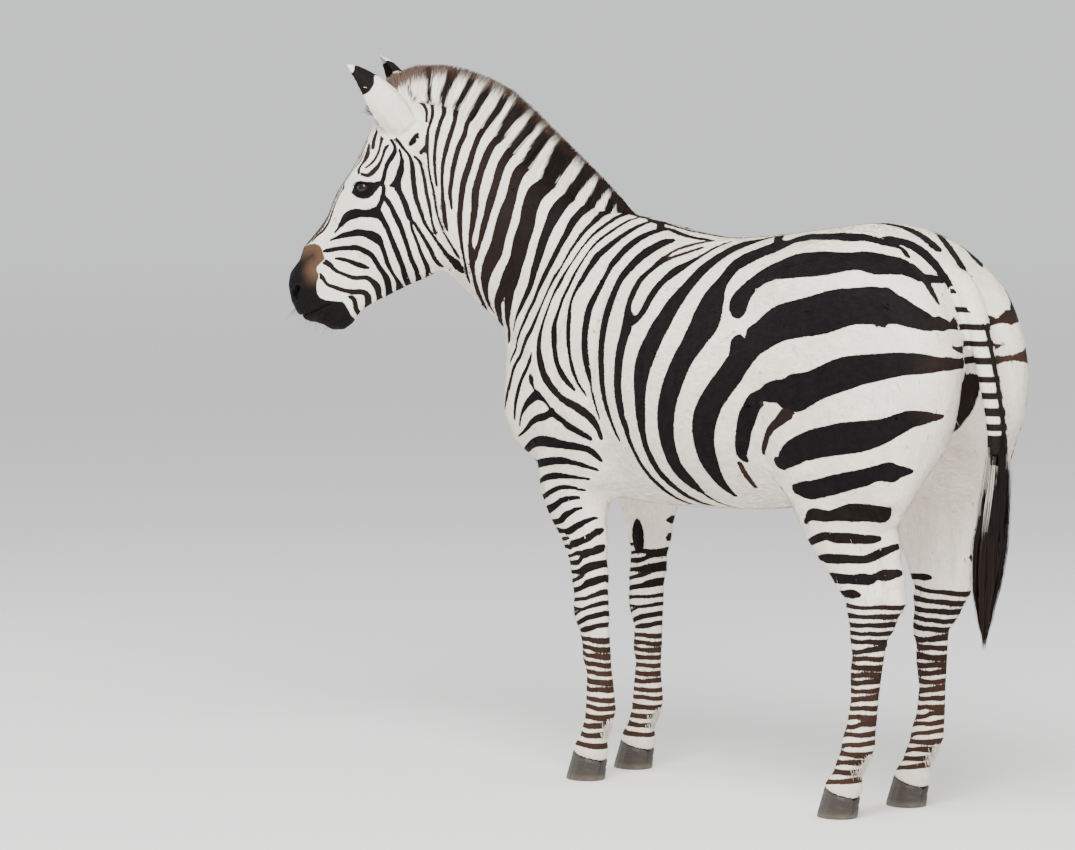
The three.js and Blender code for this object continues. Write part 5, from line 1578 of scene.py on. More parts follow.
def mane_hue(points, heights):
    """Dark, rust and grey for each point of the mane, and its place by length and height."""
    found = CREST.read(points * [0, 1, 1])
    jitter = np.repeat(RANDOM.normal(0, 1.3 * MM, len(heights)), MANE_STATIONS * 2)
    dark = smoothstep(1.2 * MM, -1.2 * MM, np.abs(found[:, 0]) - found[:, 2] + jitter)
    f = -points[:, 1]
    dark = np.maximum(dark, smoothstep(0.455, 0.425, f))
    t = np.tile(np.repeat(np.linspace(0, 1, MANE_STATIONS), 2), len(heights))
    own, top = np.repeat(heights, MANE_STATIONS * 2, axis=0).T
    depth = np.repeat(RANDOM.normal(0, 0.0035, len(heights)), MANE_STATIONS * 2)
    brown_for = np.interp(f, [0.42, 0.60, 0.85, 0.97, 1.03], [0.010, 0.017, 0.021, 0.036, 0.050])
    tip = smoothstep(0.006, -0.006, top - t * own - brown_for + depth)
    tip = np.maximum(tip, smoothstep(1.012, 1.028, f))
    warm = np.interp(f, [0.45, 0.70, 0.95], [0.35, 0.65, 1.0])
    rust = np.where(dark > 0.5, 0.10 + 0.55 * tip, 1.0 * tip) * warm
    dark = np.maximum(dark, tip * np.interp(f, [0.5, 1.0], [1.0, 0.94]))
    uv = np.stack([(f - 0.38) / 0.72, np.clip(t * own / 0.14, 0, 1)], 1)
    uv[:, 0] += np.tile([0.0, 0.0015], len(uv) // 2)
    return np.stack([dark, rust, np.zeros(len(dark))], 1), uv * 0.98 + 0.005


TUFT_CLUMPS = 120
TUFT_HAIRS = 34  # in each clump
TUFT_STATIONS = 14


def tail_tuft():
    """The long hair of the tail, in clumps that part towards their ends."""
    outline = cad_surface("tail_tuft")
    low, high = outline.points[:, 2].min(), outline.points[:, 2].max()
    levels = np.linspace(low + 0.004, high - 0.002, 24)
    middles, halves = [], []
    for z in levels:
        ring = outline.points[np.abs(outline.points[:, 2] - z) < 0.03]
        centre = np.array([0, (ring[:, 1].min() + ring[:, 1].max()) / 2, z])
        met = [outline.hit(centre, way) for way in ((1, 0, 0), (-1, 0, 0), (0, 1, 0), (0, -1, 0))]
        if any(m is None for m in met):
            middles.append(centre)
            halves.append([0.002, 0.002])
            continue
        right, left, rear, front = (m[0] for m in met)
        middles.append([(right[0] + left[0]) / 2, (rear[1] + front[1]) / 2, z])
        halves.append([(right[0] - left[0]) / 2, (rear[1] - front[1]) / 2])
    middles, halves = np.array(middles), np.array(halves)
    top = high + 0.05
    t = np.linspace(0, 1, TUFT_STATIONS)
    roots, courses, widths, facing, greys = [], [], [], [], []
    for _ in range(TUFT_CLUMPS):
        share, angle = RANDOM.uniform(0, 1) ** 0.5, RANDOM.uniform(0, 2 * math.pi)
        side = abs(math.cos(angle)) * share
        early = RANDOM.uniform(0, 1)
        start = top - 0.26 * early
        end = low + (start - low) * (RANDOM.uniform(0, 1) ** 1.6 * 0.62)
        pale = 0.9 * (side > 0.45) * (early < 0.45) * (RANDOM.uniform(0, 1) < 0.7)
        drift = RANDOM.normal(0, 0.35)
        wave, phase = RANDOM.uniform(5, 11), RANDOM.uniform(0, 6.28)
        for _ in range(TUFT_HAIRS):
            z = np.linspace(start, end + RANDOM.normal(0, 0.012), TUFT_STATIONS)
            centre = np.stack([np.interp(z, levels, middles[:, k]) for k in range(3)], 1)
            half = np.stack([np.interp(z, levels, halves[:, k]) for k in range(2)], 1)
            swirl = angle + drift * t
            out = 0.90 * share * np.stack([np.cos(swirl), np.sin(swirl)], 1) * half
            own = RANDOM.normal(0, 0.0034, 2) * (1 - 0.75 * t[:, None] ** 2)
            line = centre
            line[:, :2] += out + own
            line[:, 0] += 0.0030 * np.sin(z * wave * 6 + phase) * t
            line[:, 2] = z
            roots.append(line[0])
            courses.append(line - line[0])
            taper = np.interp(t, [0, 0.1, 0.7, 1], [0.5, 1, 0.8, 0.1])
            widths.append(RANDOM.uniform(1.2, 2.6) * MM * taper)
            facing.append([math.cos(angle), math.sin(angle), 0])
            greys.append(pale * RANDOM.uniform(0.5, 1))
    points, faces = blades(*(np.array(v) for v in (roots, courses, widths, facing)))
    pale = np.repeat(greys, TUFT_STATIONS * 2) * smoothstep(0.60, 0.74, points[:, 2])
    rust = 0.04 + 0.14 * smoothstep(0.70, 0.45, points[:, 2])
    around = np.arctan2(points[:, 0], points[:, 1] - np.interp(points[:, 2], levels, middles[:, 1]))
    uv = np.stack([around / 6.4 + 0.5, (points[:, 2] - low) / (top - low + 0.01)], 1) * 0.98 + 0.01
    return points, faces, np.stack([1 - 0.80 * pale, rust, np.full(len(pale), 0.45)], 1), uv[faces.ravel()]


# Fine hair: lashes, feelers, the hair in the ears and behind the fetlocks.
STRAND_STATIONS = 5
LASHES = 120
WHISKERS = 90
EAR_HAIRS = 2600
FETLOCK_HAIRS = 260


def strands(roots, ways, lengths, droop, width):
    """Thin single hairs that bend down towards their ends, where they stay inside the box."""
    ends = roots + ways * lengths[:, None]
    inside = np.linalg.norm(kept_inside(ends) - ends, axis=1) < 0.1 * MM
    roots, ways, lengths = roots[inside], ways[inside], lengths[inside]
    t = np.linspace(0, 1, STRAND_STATIONS)
    courses = ways[:, None] * (t[:, None] * lengths[:, None, None])
    fall = droop * lengths[:, None] * t**2
    courses = courses + np.stack([np.zeros_like(fall), np.zeros_like(fall), -fall], 2)
    facing = unit(np.cross(ways, RANDOM.normal(0, 1, ways.shape)))
    widths = width * np.interp(t, [0, 0.5, 1], [1, 0.8, 0.12])[None] * np.ones((len(roots), 1))
    points, faces = blades(roots, courses, widths, facing)
    return points, faces, roots, inside


def lash_line():
    """Where the lashes of a left eye stand, which way, and how long they are."""
    roots, ways, lengths = [], [], []
    for n in range(LASHES):
        upper = n % 4 != 0
        e = RANDOM.uniform(-0.96, 0.9)
        a = SLIT_HALF * e
        b = SLIT_TOP * (1 - abs(e) ** 2.6) ** 0.8 + 1.2 if upper else -SLIT_LOW * (1 - e * e) ** 0.8 - 1.2
        angle = math.hypot(a, b) * MM / EYE_RADIUS
        flat = np.array([a, b]) / math.hypot(a, b)
        tangent = SLIT_AHEAD * flat[0] + SLIT_UP * flat[1]
        out = EYE_LOOK * math.cos(angle) + tangent * math.sin(angle)
        roots.append(EYE_AT + out * (EYE_RADIUS + 2.6 * MM))
        lean = np.array([0, -0.10, 0.06 if upper else -0.5]) + RANDOM.normal(0, 0.10, 3)
        ways.append(unit(out * 0.6 + EYE_LOOK * 0.5 + lean))
        lengths.append((15 if upper else 7) * MM * (1 - 0.5 * e * e) * RANDOM.uniform(0.7, 1.1))
    return np.array(roots), np.array(ways), np.array(lengths)


def both_sides(parts):
    """Strands of the left side, and the same mirrored."""
    roots, ways, lengths = parts
    flip = [-1, 1, 1]
    return (np.concatenate([roots, roots * flip]), np.concatenate([ways, ways * flip]),
            np.concatenate([lengths, lengths]))


def on_form(place, way):
    """Where a ray from a place of the straight animal meets the formed skin."""
    return FORM.hit(place, way, 0.6)


def whiskers():
    """Feelers about the lips and chin."""
    roots, ways, lengths = [], [], []
    while len(roots) < WHISKERS:
        f = RANDOM.uniform(1.125, 1.225)
        z = RANDOM.uniform(1.045, 1.135) if f > 1.16 else RANDOM.uniform(1.040, 1.085)
        met = on_form((0.3, -f, z), (-1, 0, 0))
        if met is None:
            continue
        place, normal, _ = met
        roots.append(place)
        ways.append(unit(normal + np.array([0, -0.35, -0.45]) + RANDOM.normal(0, 0.15, 3)))
        lengths.append(RANDOM.uniform(14, 34) * MM)
    return np.array(roots), np.array(ways), np.array(lengths)


def ear_hair():
    """The longer hair inside the ears and along their edges."""
    spans = FORM_POINTS[skin_corners]
    middles, faces = spans.mean(1), np.cross(spans[:, 1] - spans[:, 0], spans[:, 2] - spans[:, 0])
    share, axis, on_ear = ear_places(middles)
    normals = unit(faces)
    inner = on_ear & (((middles - axis) * normals).sum(1) < 0) & (share > 0.06) & (share < 0.70)
    chosen = RANDOM.choice(np.flatnonzero(inner), EAR_HAIRS)
    weights = RANDOM.dirichlet((1, 1, 1), EAR_HAIRS)
    roots = (spans[chosen] * weights[..., None]).sum(1)
    tips = np.where(roots[:, :1] > 0, EARS[1][1] - EARS[1][0], EARS[-1][1] - EARS[-1][0])
    ways = unit(unit(tips) * 1.1 + normals[chosen] * 0.55 + RANDOM.normal(0, 0.12, roots.shape))
    lengths = RANDOM.uniform(10, 18, EAR_HAIRS) * MM * (1.15 - 0.65 * share[chosen])
    return roots, ways, lengths, share[chosen]


def fetlock_hair():
    """The short tufts behind the fetlocks."""
    levels, rings = leg_rings()
    roots, ways, lengths = [], [], []
    for rows in rings.values():
        for _ in range(FETLOCK_HAIRS):
            z = RANDOM.uniform(0.105, 0.150)
            x = np.interp(z, levels, rows[:, 0]) + RANDOM.normal(0, 0.007)
            met = on_form((x, np.interp(z, levels, rows[:, 1]) + 0.3, z), (0, -1, 0))
            if met is None:
                continue
            roots.append(met[0])
            ways.append(unit(np.array([0, 0.30, -1.0]) + RANDOM.normal(0, 0.12, 3)))
            lengths.append(RANDOM.uniform(7, 15) * MM)
    return np.array(roots), np.array(ways), np.array(lengths)


# ------------------------------------------------------------------ the short coat

COAT_PIECES = 4
COAT_SEED = 100
COAT_TUFTS = 44000  # in each piece
COAT_STATIONS = 3


def coat_tufts(seed, areas):
    """Short flat tufts over the whole skin: mesh arrays, values and unwrap."""
    rng = np.random.default_rng(seed)
    chosen = rng.choice(len(skin_corners), COAT_TUFTS, p=areas)
    weights = rng.dirichlet((1, 1, 1), COAT_TUFTS)
    corners = skin_corners[chosen]
    at = (SKIN.points[corners] * weights[..., None]).sum(1)
    form = (FORM_POINTS[corners] * weights[..., None]).sum(1)
    out = unit((FORM_NORMALS[corners] * weights[..., None]).sum(1))
    parts = part_numbers(at)
    f, z = -at[:, 1], at[:, 2]
    way = lie(at, out, parts)
    side = np.cross(out, way)
    way = unit(way + side * rng.normal(0, 0.16, (COAT_TUFTS, 1)))
    short = np.maximum(smoothstep(0.90, 1.02, f), smoothstep(0.5, 0.1, z))
    length = (13 - 8.5 * short) * MM * rng.uniform(0.7, 1.15, COAT_TUFTS)
    rise = (1.9 - 1.2 * short) * MM * rng.uniform(0.5, 1.1, COAT_TUFTS)
    t = np.linspace(0, 1, COAT_STATIONS)
    courses = way[:, None] * (t[:, None] * length[:, None, None])
    courses = courses + out[:, None] * (np.array([0, 0.85, 1.0])[:, None] * rise[:, None, None])
    widths = (2.3 - 1.1 * short)[:, None] * MM * rng.uniform(0.8, 1.3, (COAT_TUFTS, 1))
    widths = widths * np.array([0.8, 1.0, 0.12])
    sunk = form - out * 0.3 * MM
    points, faces = blades(sunk, courses, widths, out)
    points = kept_inside(points)
    under = at[:, None] + way[:, None] * (t[:, None] * length[:, None, None])
    formed = (under - at[:, None] + form[:, None]).reshape(-1, 3)
    values = coat_values(under.reshape(-1, 3), np.repeat(out, COAT_STATIONS, axis=0), formed,
                         np.repeat(length / (COAT_STATIONS - 1), COAT_STATIONS), 1.2 * MM)
    per_point = {name: np.repeat(array, 2, axis=0) for name, array in values.items()}
    patch = UNWRAP.patches(chosen, weights)
    across = np.array([[-1, -1], [1, -1], [-1, 0], [1, 0], [-1, 1], [1, 1]]) * 0.0015
    uv = (patch[:, None] + across).reshape(-1, 2)[faces.ravel()]
    return points, faces, per_point, uv


# ------------------------------------------------------------------ materials

class Nodes:
    """A material's nodes, made with short calls."""

    def __init__(self, name):
        self.material = bpy.data.materials.new(name)
        self.material.use_nodes = True
        self.tree = self.material.node_tree
        self.shader = self.tree.nodes["Principled BSDF"]

    def value(self, socket, source):
        if hasattr(source, "is_output"):
            self.tree.links.new(source, socket)
        else:
            socket.default_value = source

    def math(self, operation, *sources, clamp=False):
        node = self.tree.nodes.new("ShaderNodeMath")
        node.operation = operation
        node.use_clamp = clamp
        for socket, source in zip(node.inputs, sources):
            self.value(socket, source)
        return node.outputs[0]

    def read(self, name):
        """The three numbers of a stored value."""
        node = self.tree.nodes.new("ShaderNodeAttribute")
        node.attribute_name = name
        split = self.tree.nodes.new("ShaderNodeSeparateXYZ")
        self.tree.links.new(node.outputs["Vector"], split.inputs[0])
        return node.outputs["Vector"], *split.outputs

    def step(self, source, low, high):
        """0 below low, 1 above high, smooth between."""
        node = self.tree.nodes.new("ShaderNodeMapRange")
        node.interpolation_type = "SMOOTHSTEP"
        self.value(node.inputs["Value"], source)
        node.inputs["From Min"].default_value = low
        node.inputs["From Max"].default_value = high
        return node.outputs["Result"]

    def mix(self, share, a, b):
        node = self.tree.nodes.new("ShaderNodeMix")
        node.data_type = "RGBA"
        self.value(node.inputs[0], share)
        self.value(node.inputs[6], a)
        self.value(node.inputs[7], b)
        return node.outputs[2]

    def noise(self, vector, scale, detail=2.0):
        node = self.tree.nodes.new("ShaderNodeTexNoise")
        self.value(node.inputs["Vector"], vector)
        node.inputs["Scale"].default_value = scale
        node.inputs["Detail"].default_value = detail
        return node.outputs["Fac"]

    def stretched(self, vector, size, turn=0.0):
        node = self.tree.nodes.new("ShaderNodeMapping")
        self.value(node.inputs["Vector"], vector)
        node.inputs["Rotation"].default_value = (turn, 0, 0)
        node.inputs["Scale"].default_value = size
        return node.outputs[0]

    def bump(self, height, depth, strength=1.0):
        node = self.tree.nodes.new("ShaderNodeBump")
        self.value(node.inputs["Height"], height)
        node.inputs["Distance"].default_value = depth
        node.inputs["Strength"].default_value = strength
        self.tree.links.new(node.outputs[0], self.shader.inputs["Normal"])


WHITE = (0.90, 0.845, 0.735, 1)
DUSTY = (0.52, 0.42, 0.30, 1)
BLACK = (0.007, 0.006, 0.006, 1)
RUST = (0.070, 0.034, 0.021, 1)
TAN = (0.100, 0.056, 0.032, 1)
EAR_SKIN = (0.42, 0.33, 0.28, 1)


def coat_material():
    m = Nodes("coat")
    place, _, _, _ = m.read("place")
    _, offset, far, half = m.read("band")
    _, reach, rust, patch = m.read("tone")
    _, dust, patch_rust, inner = m.read("ground")
    _, _, _, lie_z = m.read("lie")
    streaks_back = m.noise(m.stretched(place, (420, 60, 420)), 1.0)
    streaks_down = m.noise(m.stretched(place, (420, 420, 60)), 1.0)
    steep = m.step(m.math("ABSOLUTE", lie_z), 0.35, 0.85)
    streaks = m.math("ADD", m.math("MULTIPLY", streaks_down, steep),
                     m.math("MULTIPLY", streaks_back, m.math("SUBTRACT", 1.0, steep)))
    ragged = m.math("MULTIPLY", m.math("SUBTRACT", streaks, 0.5), 3.4)
    soft = m.math("MULTIPLY", m.math("SUBTRACT", m.noise(place, 38, 3), 0.5), 2.4)
    fine = m.step(half, 1.2, 6.0)
    wild = m.math("ADD", 0.25, m.math("MULTIPLY", fine, 0.75))
    edge = m.math("MULTIPLY", m.math("ADD", ragged, soft), wild)
    inside = m.math("ADD", m.math("SUBTRACT", m.math("ABSOLUTE", offset), half), edge)
    band = m.math("SUBTRACT", 1.0, m.step(inside, -0.9, 0.9))
    band = m.math("MULTIPLY", band, m.math("LESS_THAN", far, reach))
    dark = m.math("SUBTRACT", 1.0, m.step(m.math("ADD", patch, edge), -1.5, 1.5))
    ground = m.mix(m.math("MULTIPLY", dust, m.noise(place, 16, 4)), WHITE, DUSTY)
    pale = m.step(m.noise(place, 7, 3), 0.35, 0.75)
    ground = m.mix(m.math("MULTIPLY", pale, 0.20), ground, (0.60, 0.53, 0.42, 1))
    ground = m.mix(m.math("MULTIPLY", inner, 0.8), ground, EAR_SKIN)
    band_colour = m.mix(m.math("MULTIPLY", rust, 0.85), BLACK, RUST)
    patch_colour = m.mix(m.math("MULTIPLY", patch_rust, 0.95), BLACK, TAN)
    colour = m.mix(band, ground, band_colour)
    colour = m.mix(dark, colour, patch_colour)
    shade = m.math("ADD", 0.80, m.math("MULTIPLY", streaks, 0.40))
    final = m.tree.nodes.new("ShaderNodeVectorMath")
    final.operation = "SCALE"
    m.value(final.inputs[0], colour)
    m.value(final.inputs["Scale"], shade)
    m.value(m.shader.inputs["Base Color"], final.outputs[0])
    m.shader.inputs["Roughness"].default_value = 0.68
    m.shader.inputs["Specular IOR Level"].default_value = 0.07
    m.bump(streaks, 0.0012, 0.75)
    return m.material


def hair_material():
    """Mane and tail: how dark and how brown each lock is comes with it."""
    m = Nodes("hair")
    place, _, _, _ = m.read("place")
    _, dark, rust, grey = m.read("hue")
    ground = m.mix(grey, WHITE, (0.30, 0.26, 0.22, 1))
    colour = m.mix(dark, ground, m.mix(rust, BLACK, RUST))
    shade = m.math("ADD", 0.75, m.math("MULTIPLY", m.noise(m.stretched(place, (300, 300, 40)), 1.0), 0.5))
    final = m.tree.nodes.new("ShaderNodeVectorMath")
    final.operation = "SCALE"
    m.value(final.inputs[0], colour)
    m.value(final.inputs["Scale"], shade)
    m.value(m.shader.inputs["Base Color"], final.outputs[0])
    m.shader.inputs["Roughness"].default_value = 0.6
    m.shader.inputs["Specular IOR Level"].default_value = 0.08
    return m.material


def eye_material():
    """A brown iris with a long pupil under a clear wet coat."""
    m = Nodes("eye")
    gaze, ahead, up, _ = m.read("gaze")
    across = m.math("MULTIPLY", ahead, 0.82)
    ring = m.math("SQRT", m.math("ADD", m.math("MULTIPLY", across, across), m.math("MULTIPLY", up, up)))
    rays = m.noise(m.stretched(gaze, (9, 9, 1)), 2.4, 4)
    iris = m.mix(rays, (0.008, 0.004, 0.0025, 1), (0.030, 0.013, 0.006, 1))
    long_way = m.math("MULTIPLY", ahead, 0.50)
    slot = m.math("SQRT", m.math("ADD", m.math("MULTIPLY", long_way, long_way), m.math("MULTIPLY", up, up)))
    iris = m.mix(m.step(slot, 0.20, 0.15), iris, (0.003, 0.004, 0.006, 1))
    white = m.mix(m.step(ring, 0.72, 1.0), (0.012, 0.007, 0.005, 1), (0.12, 0.085, 0.065, 1))
    colour = m.mix(m.step(ring, 0.60, 0.66), iris, white)
    m.value(m.shader.inputs["Base Color"], colour)
    m.shader.inputs["Roughness"].default_value = 0.25
    m.shader.inputs["Specular IOR Level"].default_value = 0.1
    m.shader.inputs["Coat Weight"].default_value = 0.55
    m.shader.inputs["Coat Roughness"].default_value = 0.03
    return m.material


def horn_material():
    """Hooves: dark horn with growth rings, upright grain and a paler worn edge."""
    m = Nodes("horn")
    place, _, _, height = m.read("place")
    rings = m.noise(m.stretched(place, (6, 6, 420)), 1.0, 3)
    grain = m.noise(m.stretched(place, (520, 520, 30)), 1.0, 2)
    dark = m.mix(rings, (0.016, 0.013, 0.011, 1), (0.045, 0.037, 0.030, 1))
    colour = m.mix(m.math("MULTIPLY", grain, 0.45), dark, (0.085, 0.07, 0.055, 1))
    worn = m.math("MULTIPLY", m.step(height, 0.020, 0.002), m.noise(place, 60, 3))
    colour = m.mix(worn, colour, (0.17, 0.14, 0.105, 1))
    m.value(m.shader.inputs["Base Color"], colour)
    m.shader.inputs["Roughness"].default_value = 0.5
    m.shader.inputs["Specular IOR Level"].default_value = 0.35
    m.bump(m.math("ADD", m.math("MULTIPLY", rings, 0.7), m.math("MULTIPLY", grain, 0.3)), 0.0012, 0.8)
    return m.material


COAT = coat_material()
HAIR = hair_material()
EYE = eye_material()
HORN = horn_material()


# ------------------------------------------------------------------ eyes and hooves

BALL_RINGS, BALL_TURNS = 48, 64
CORNEA = 1.1 * MM  # by which the clear front of the eye stands out


def eyeball(side):
    """A ball that faces along EYE_LOOK: points, faces, and arcs from its middle."""
    turn = np.linspace(0, math.pi, BALL_RINGS + 1)[1:-1]
    round_it = np.arange(BALL_TURNS) * 2 * math.pi / BALL_TURNS
    turn, round_it = np.meshgrid(turn, round_it, indexing="ij")
    ahead, up = np.cos(round_it) * np.sin(turn), np.sin(round_it) * np.sin(turn)
    way = np.cos(turn)[..., None] * EYE_LOOK + ahead[..., None] * SLIT_AHEAD + up[..., None] * SLIT_UP
    way = np.concatenate([[EYE_LOOK], way.reshape(-1, 3), [-EYE_LOOK]])
    angle = np.concatenate([[0], turn.ravel(), [math.pi]])
    radius = EYE_RADIUS - 0.6 * MM + CORNEA * smoothstep(0.80, 0.35, angle)
    points = (EYE_AT + way * radius[:, None]) * [side, 1, 1]
    gaze = np.stack([
        angle * np.concatenate([[0], np.cos(round_it).ravel(), [0]]),
        angle * np.concatenate([[0], np.sin(round_it).ravel(), [0]]),
        angle,
    ], 1)
    ring = 1 + np.arange(BALL_RINGS - 2)[:, None] * BALL_TURNS
    here, beyond = np.arange(BALL_TURNS), (np.arange(BALL_TURNS) + 1) % BALL_TURNS
    a, b = ring + here, ring + beyond
    c, d = b + BALL_TURNS, a + BALL_TURNS
    faces = [np.stack(v, -1).reshape(-1, 3) for v in ((a, d, b), (b, d, c))]
    first = np.stack([np.zeros(BALL_TURNS, int), 1 + here, 1 + beyond], 1)
    last = len(points) - 1
    end = last - BALL_TURNS
    faces += [first, np.stack([np.full(BALL_TURNS, last), end + beyond, end + here], 1)]
    faces = np.concatenate(faces)[:, ::int(side)]
    return points, faces, gaze


def eye_piece(name, side):
    points, faces, gaze = eyeball(side)
    mesh = new_mesh(name, turned(points), faces)
    set_values(mesh, {"gaze": gaze})
    set_unwrap(mesh, (gaze[:, :2] / (2 * math.pi) + 0.5)[faces.ravel()])
    add_object(f"{name}_ball", mesh, EYE, [name])


HOOF_VOXEL = 1.5 * MM
HOOF_HEIGHT, HOOF_SLOPE = 0.060, 0.36  # height at the middle, and rise of the coronet ahead
HOOF_RINGS = 10


def hoof_piece(name):
    """A hoof with growth rings, a crest under the hair and a cleft between the heels."""
    work = bpy.data.objects.new(name, NODES[name].data.copy())
    bpy.context.scene.collection.objects.link(work)
    remesh = work.modifiers.new("remesh", "REMESH")
    remesh.mode = "VOXEL"
    remesh.voxel_size = HOOF_VOXEL
    smooth = work.modifiers.new("smooth", "SMOOTH")
    smooth.iterations = 6
    mesh = evaluated(work)
    bpy.data.objects.remove(work)
    points, corners = points_of(mesh), corners_of(mesh)
    normals = normals_at(points, corners)
    low, high = points.min(0), points.max(0)
    across = points[:, 0] - (low[0] + high[0]) / 2
    ahead = (low[1] + high[1]) / 2 - points[:, 1]
    level = points[:, 2] / (HOOF_HEIGHT + HOOF_SLOPE * ahead)
    wall = smoothstep(0.75, 0.45, np.abs(normals[:, 2])) * smoothstep(0.06, 0.20, level)
    wave = np.sin(level * HOOF_RINGS * 6.28 + 1.2 * np.sin(across * 60) + 0.8 * np.sin(ahead * 45))
    raised = 0.32 * wave * wall + 0.9 * bell(level - 0.93, 0.05) * wall
    heel = smoothstep(-0.022, -0.040, ahead)
    raised -= 7.0 * bell(across, 6 * MM) * heel * smoothstep(0.0, 0.3, level)
    raised -= 1.4 * bell(level - 0.62, 0.07) * heel
    raised -= 0.6
    points = points + normals * (raised * MM)[:, None]
    points[:, 2] = np.clip(points[:, 2], 0.0002, None)
    horn = new_mesh(f"{name}_horn", points, corners)
    set_values(horn, {"place": points - [low[0], low[1], 0]})
    turn = np.arctan2(across, -ahead) / 6.4 + 0.5
    set_unwrap(horn, np.stack([turn, points[:, 2] / 0.09], 1)[corners.ravel()])
    bpy.data.meshes.remove(mesh)
    add_object(f"{name}_horn", horn, HORN, [name])


# ------------------------------------------------------------------ putting it together

FORM_POINTS = eased_inside(shaped(SKIN.points, SKIN.normals))
FORM = Surface(FORM_POINTS, skin_corners)
FORM_NORMALS = FORM.normals
UNWRAP = Unwrap(SKIN.points, skin_corners)


def skin_piece():
    mesh = new_mesh("skin", turned(FORM_POINTS), skin_corners)
    apart = spacing_at(SKIN.points)
    set_values(mesh, coat_values(SKIN.points, SKIN.normals, FORM_POINTS, apart, 2 * MM))
    set_unwrap(mesh, UNWRAP.uv)
    add_object("skin", mesh, COAT, FLESH)


def tuft_shares():
    """The share of the coat's tufts that each of the skin's triangles has."""
    a, b, c = (SKIN.points[skin_corners[:, k]] for k in range(3))
    areas = np.linalg.norm(np.cross(b - a, c - a), axis=1)
    areas = areas * (1 + 1.2 * (smoothstep(0.90, 1.0, -a[:, 1]) + smoothstep(0.6, 0.2, a[:, 2])))
    return areas / areas.sum()


skin_piece()
areas = tuft_shares()
for number in range(COAT_PIECES):
    points, faces, values, uv = coat_tufts(COAT_SEED + number, areas)
    mesh = new_mesh(f"coat_{number + 1}", turned(points), faces)
    set_values(mesh, values)
    set_unwrap(mesh, uv)
    add_object(f"coat_{number + 1}", mesh, COAT)


def root_patches(roots, faces, stations):
    """An unwrap in which each strand is a small patch at its root's place on the skin."""
    patches = []
    for root in roots:
        place, _, face = FORM.nearest(root)
        a, b, c = FORM_POINTS[skin_corners[face]]
        full = np.linalg.norm(np.cross(b - a, c - a))
        one = np.linalg.norm(np.cross(b - place, c - place)) / full
        two = np.linalg.norm(np.cross(c - place, a - place)) / full
        patches.append(UNWRAP.patches(np.array([face]), np.array([[one, two, 1 - one - two]]))[0])
    t = np.repeat(np.linspace(-1, 1, stations), 2)
    across = np.stack([np.tile([-1, 1], stations), t], 1) * 0.0015
    return (np.array(patches)[:, None] + across).reshape(-1, 2)[faces.ravel()]


def hair_object(name, points, faces, hue, uv, replaced=()):
    mesh = new_mesh(name, turned(kept_inside(points)), faces)
    set_values(mesh, {"place": points, "hue": hue})
    set_unwrap(mesh, uv)
    add_object(name, mesh, HAIR, replaced)


def fine_hair():
    """Lashes, feelers, and the hair of ears and fetlocks, as one piece."""
    roots, ways, lengths, share = ear_hair()
    groups = [
        (*both_sides(lash_line()), 0.10, 0.9, (1, 0, 0)),
        (*both_sides(whiskers()), 0.25, 0.6, (1, 0.1, 0)),
        (roots, ways, lengths, 0.15, 1.5, None),
        (*fetlock_hair(), 0.3, 1.3, (0.16, 0.6, 0.25)),
    ]
    meshes, first = [], 0
    for roots, ways, lengths, droop, width, tone in groups:
        points, faces, roots, chosen = strands(roots, ways, lengths, droop, width * MM)
        if tone is None:
            edge = smoothstep(0.66, 0.74, share[chosen])
            tone = np.repeat(np.stack([np.maximum(edge, 0.05), edge * 0.2, 0.45 * (1 - edge)], 1),
                             STRAND_STATIONS * 2, axis=0)
        else:
            tone = np.tile(tone, (len(points), 1))
        uv = root_patches(roots, faces, STRAND_STATIONS)
        meshes.append((points, faces + first, tone, uv))
        first += len(points)
    return [np.concatenate(v) for v in zip(*meshes)]


hair_object("mane_hair", *mane(), ["mane"])
hair_object("tail_hair", *tail_tuft(), ["tail_tuft"])
hair_object("fine_hair", *fine_hair())
eye_piece("eye_left", 1)
eye_piece("eye_right", -1)
for name in NODES:
    if name.startswith("hoof"):
        hoof_piece(name)


# ------------------------------------------------------------------ floor, light and camera

FLOOR_HALF = 60.0
FLOOR_FADES = (7.0, 26.0)  # how far out the floor turns into the light of the sky
SKY_COLOUR = (0.97, 0.98, 1.0, 1)
SKY_STRENGTH = 0.90


def floor_material():
    """Pale and matt, and far out as bright as the sky, so that no edge shows behind."""
    m = Nodes("floor")
    m.shader.inputs["Base Color"].default_value = (0.86, 0.85, 0.83, 1)
    m.shader.inputs["Roughness"].default_value = 0.85
    place = m.tree.nodes.new("ShaderNodeTexCoord").outputs["Object"]
    far = m.tree.nodes.new("ShaderNodeVectorMath")
    far.operation = "LENGTH"
    m.value(far.inputs[0], place)
    glow = m.tree.nodes.new("ShaderNodeEmission")
    glow.inputs["Color"].default_value = SKY_COLOUR
    glow.inputs["Strength"].default_value = SKY_STRENGTH
    both = m.tree.nodes.new("ShaderNodeMixShader")
    m.value(both.inputs[0], m.step(far.outputs["Value"], *FLOOR_FADES))
    m.value(both.inputs[1], m.shader.outputs[0])
    m.value(both.inputs[2], glow.outputs[0])
    m.value(m.tree.nodes["Material Output"].inputs["Surface"], both.outputs[0])
    return m.material


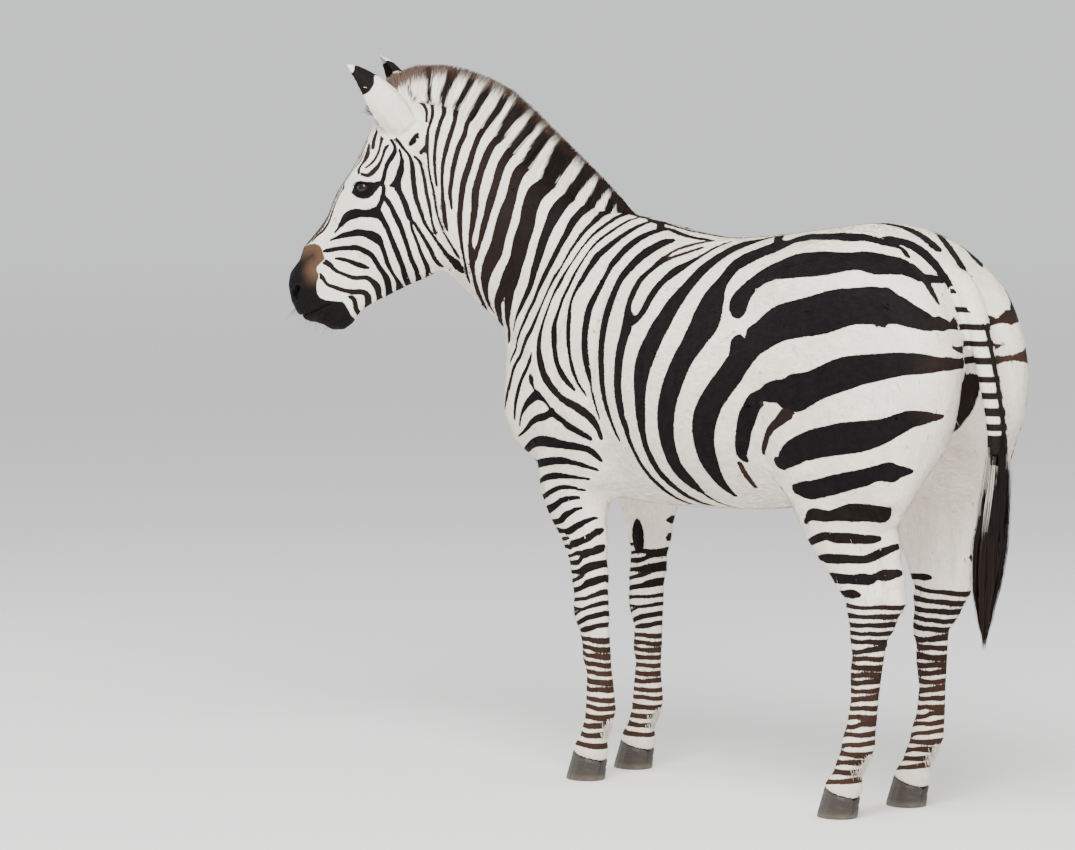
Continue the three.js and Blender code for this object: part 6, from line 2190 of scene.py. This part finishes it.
def floor():
    corners = np.array([[-1, -1, 0], [1, -1, 0], [1, 1, 0], [-1, 1, 0]]) * FLOOR_HALF
    mesh = new_mesh("floor", corners, np.array([[0, 1, 2, 3]]))
    mesh.materials.append(floor_material())
    piece = bpy.data.objects.new("floor", mesh)
    bpy.context.scene.collection.objects.link(piece)


# Soft lights: name, place, what they point at, size and power.
LIGHTS = (
    ("key", (3.0, 2.5, 4.5), (0, 0, 0.8), 3.0, 560),
    ("fill", (-3.5, 1.0, 3.0), (0, 0, 0.8), 4.0, 60),
    ("front", (2.0, -4.5, 2.5), (0, -0.5, 1.0), 3.0, 100),
)


def area_light(name, place, target, size, power):
    light = bpy.data.lights.new(name, "AREA")
    light.size = size
    light.energy = power
    lamp = bpy.data.objects.new(name, light)
    lamp.location = place
    lamp.rotation_euler = (Vector(target) - Vector(place)).to_track_quat("-Z", "Y").to_euler()
    bpy.context.scene.collection.objects.link(lamp)


CAMERA_FROM = math.radians(134)  # how far round the animal the camera stands
CAMERA_ABOVE = math.radians(5)
CAMERA_AWAY = 12.0
CAMERA_LENS = 177.7
AIM_ACROSS, AIM_UP = -0.511, 0.845


def camera():
    data = bpy.data.cameras.new("camera")
    data.lens = CAMERA_LENS
    data.sensor_width = 36
    data.clip_end = 60
    piece = bpy.data.objects.new("camera", data)
    away = Vector((
        math.sin(CAMERA_FROM) * math.cos(CAMERA_ABOVE),
        -math.cos(CAMERA_FROM) * math.cos(CAMERA_ABOVE),
        math.sin(CAMERA_ABOVE),
    ))
    right = Vector((math.cos(CAMERA_FROM), math.sin(CAMERA_FROM), 0))
    piece.location = Vector(HOME) + right * AIM_ACROSS + Vector((0, 0, AIM_UP)) + away * CAMERA_AWAY
    piece.rotation_euler = (-away).to_track_quat("-Z", "Y").to_euler()
    bpy.context.scene.collection.objects.link(piece)
    bpy.context.scene.camera = piece


floor()
camera()
for light in LIGHTS:
    area_light(*light)
world = bpy.data.worlds.new("studio")
world.use_nodes = True
world.node_tree.nodes["Background"].inputs["Color"].default_value = SKY_COLOUR
world.node_tree.nodes["Background"].inputs["Strength"].default_value = SKY_STRENGTH
bpy.context.scene.world = world
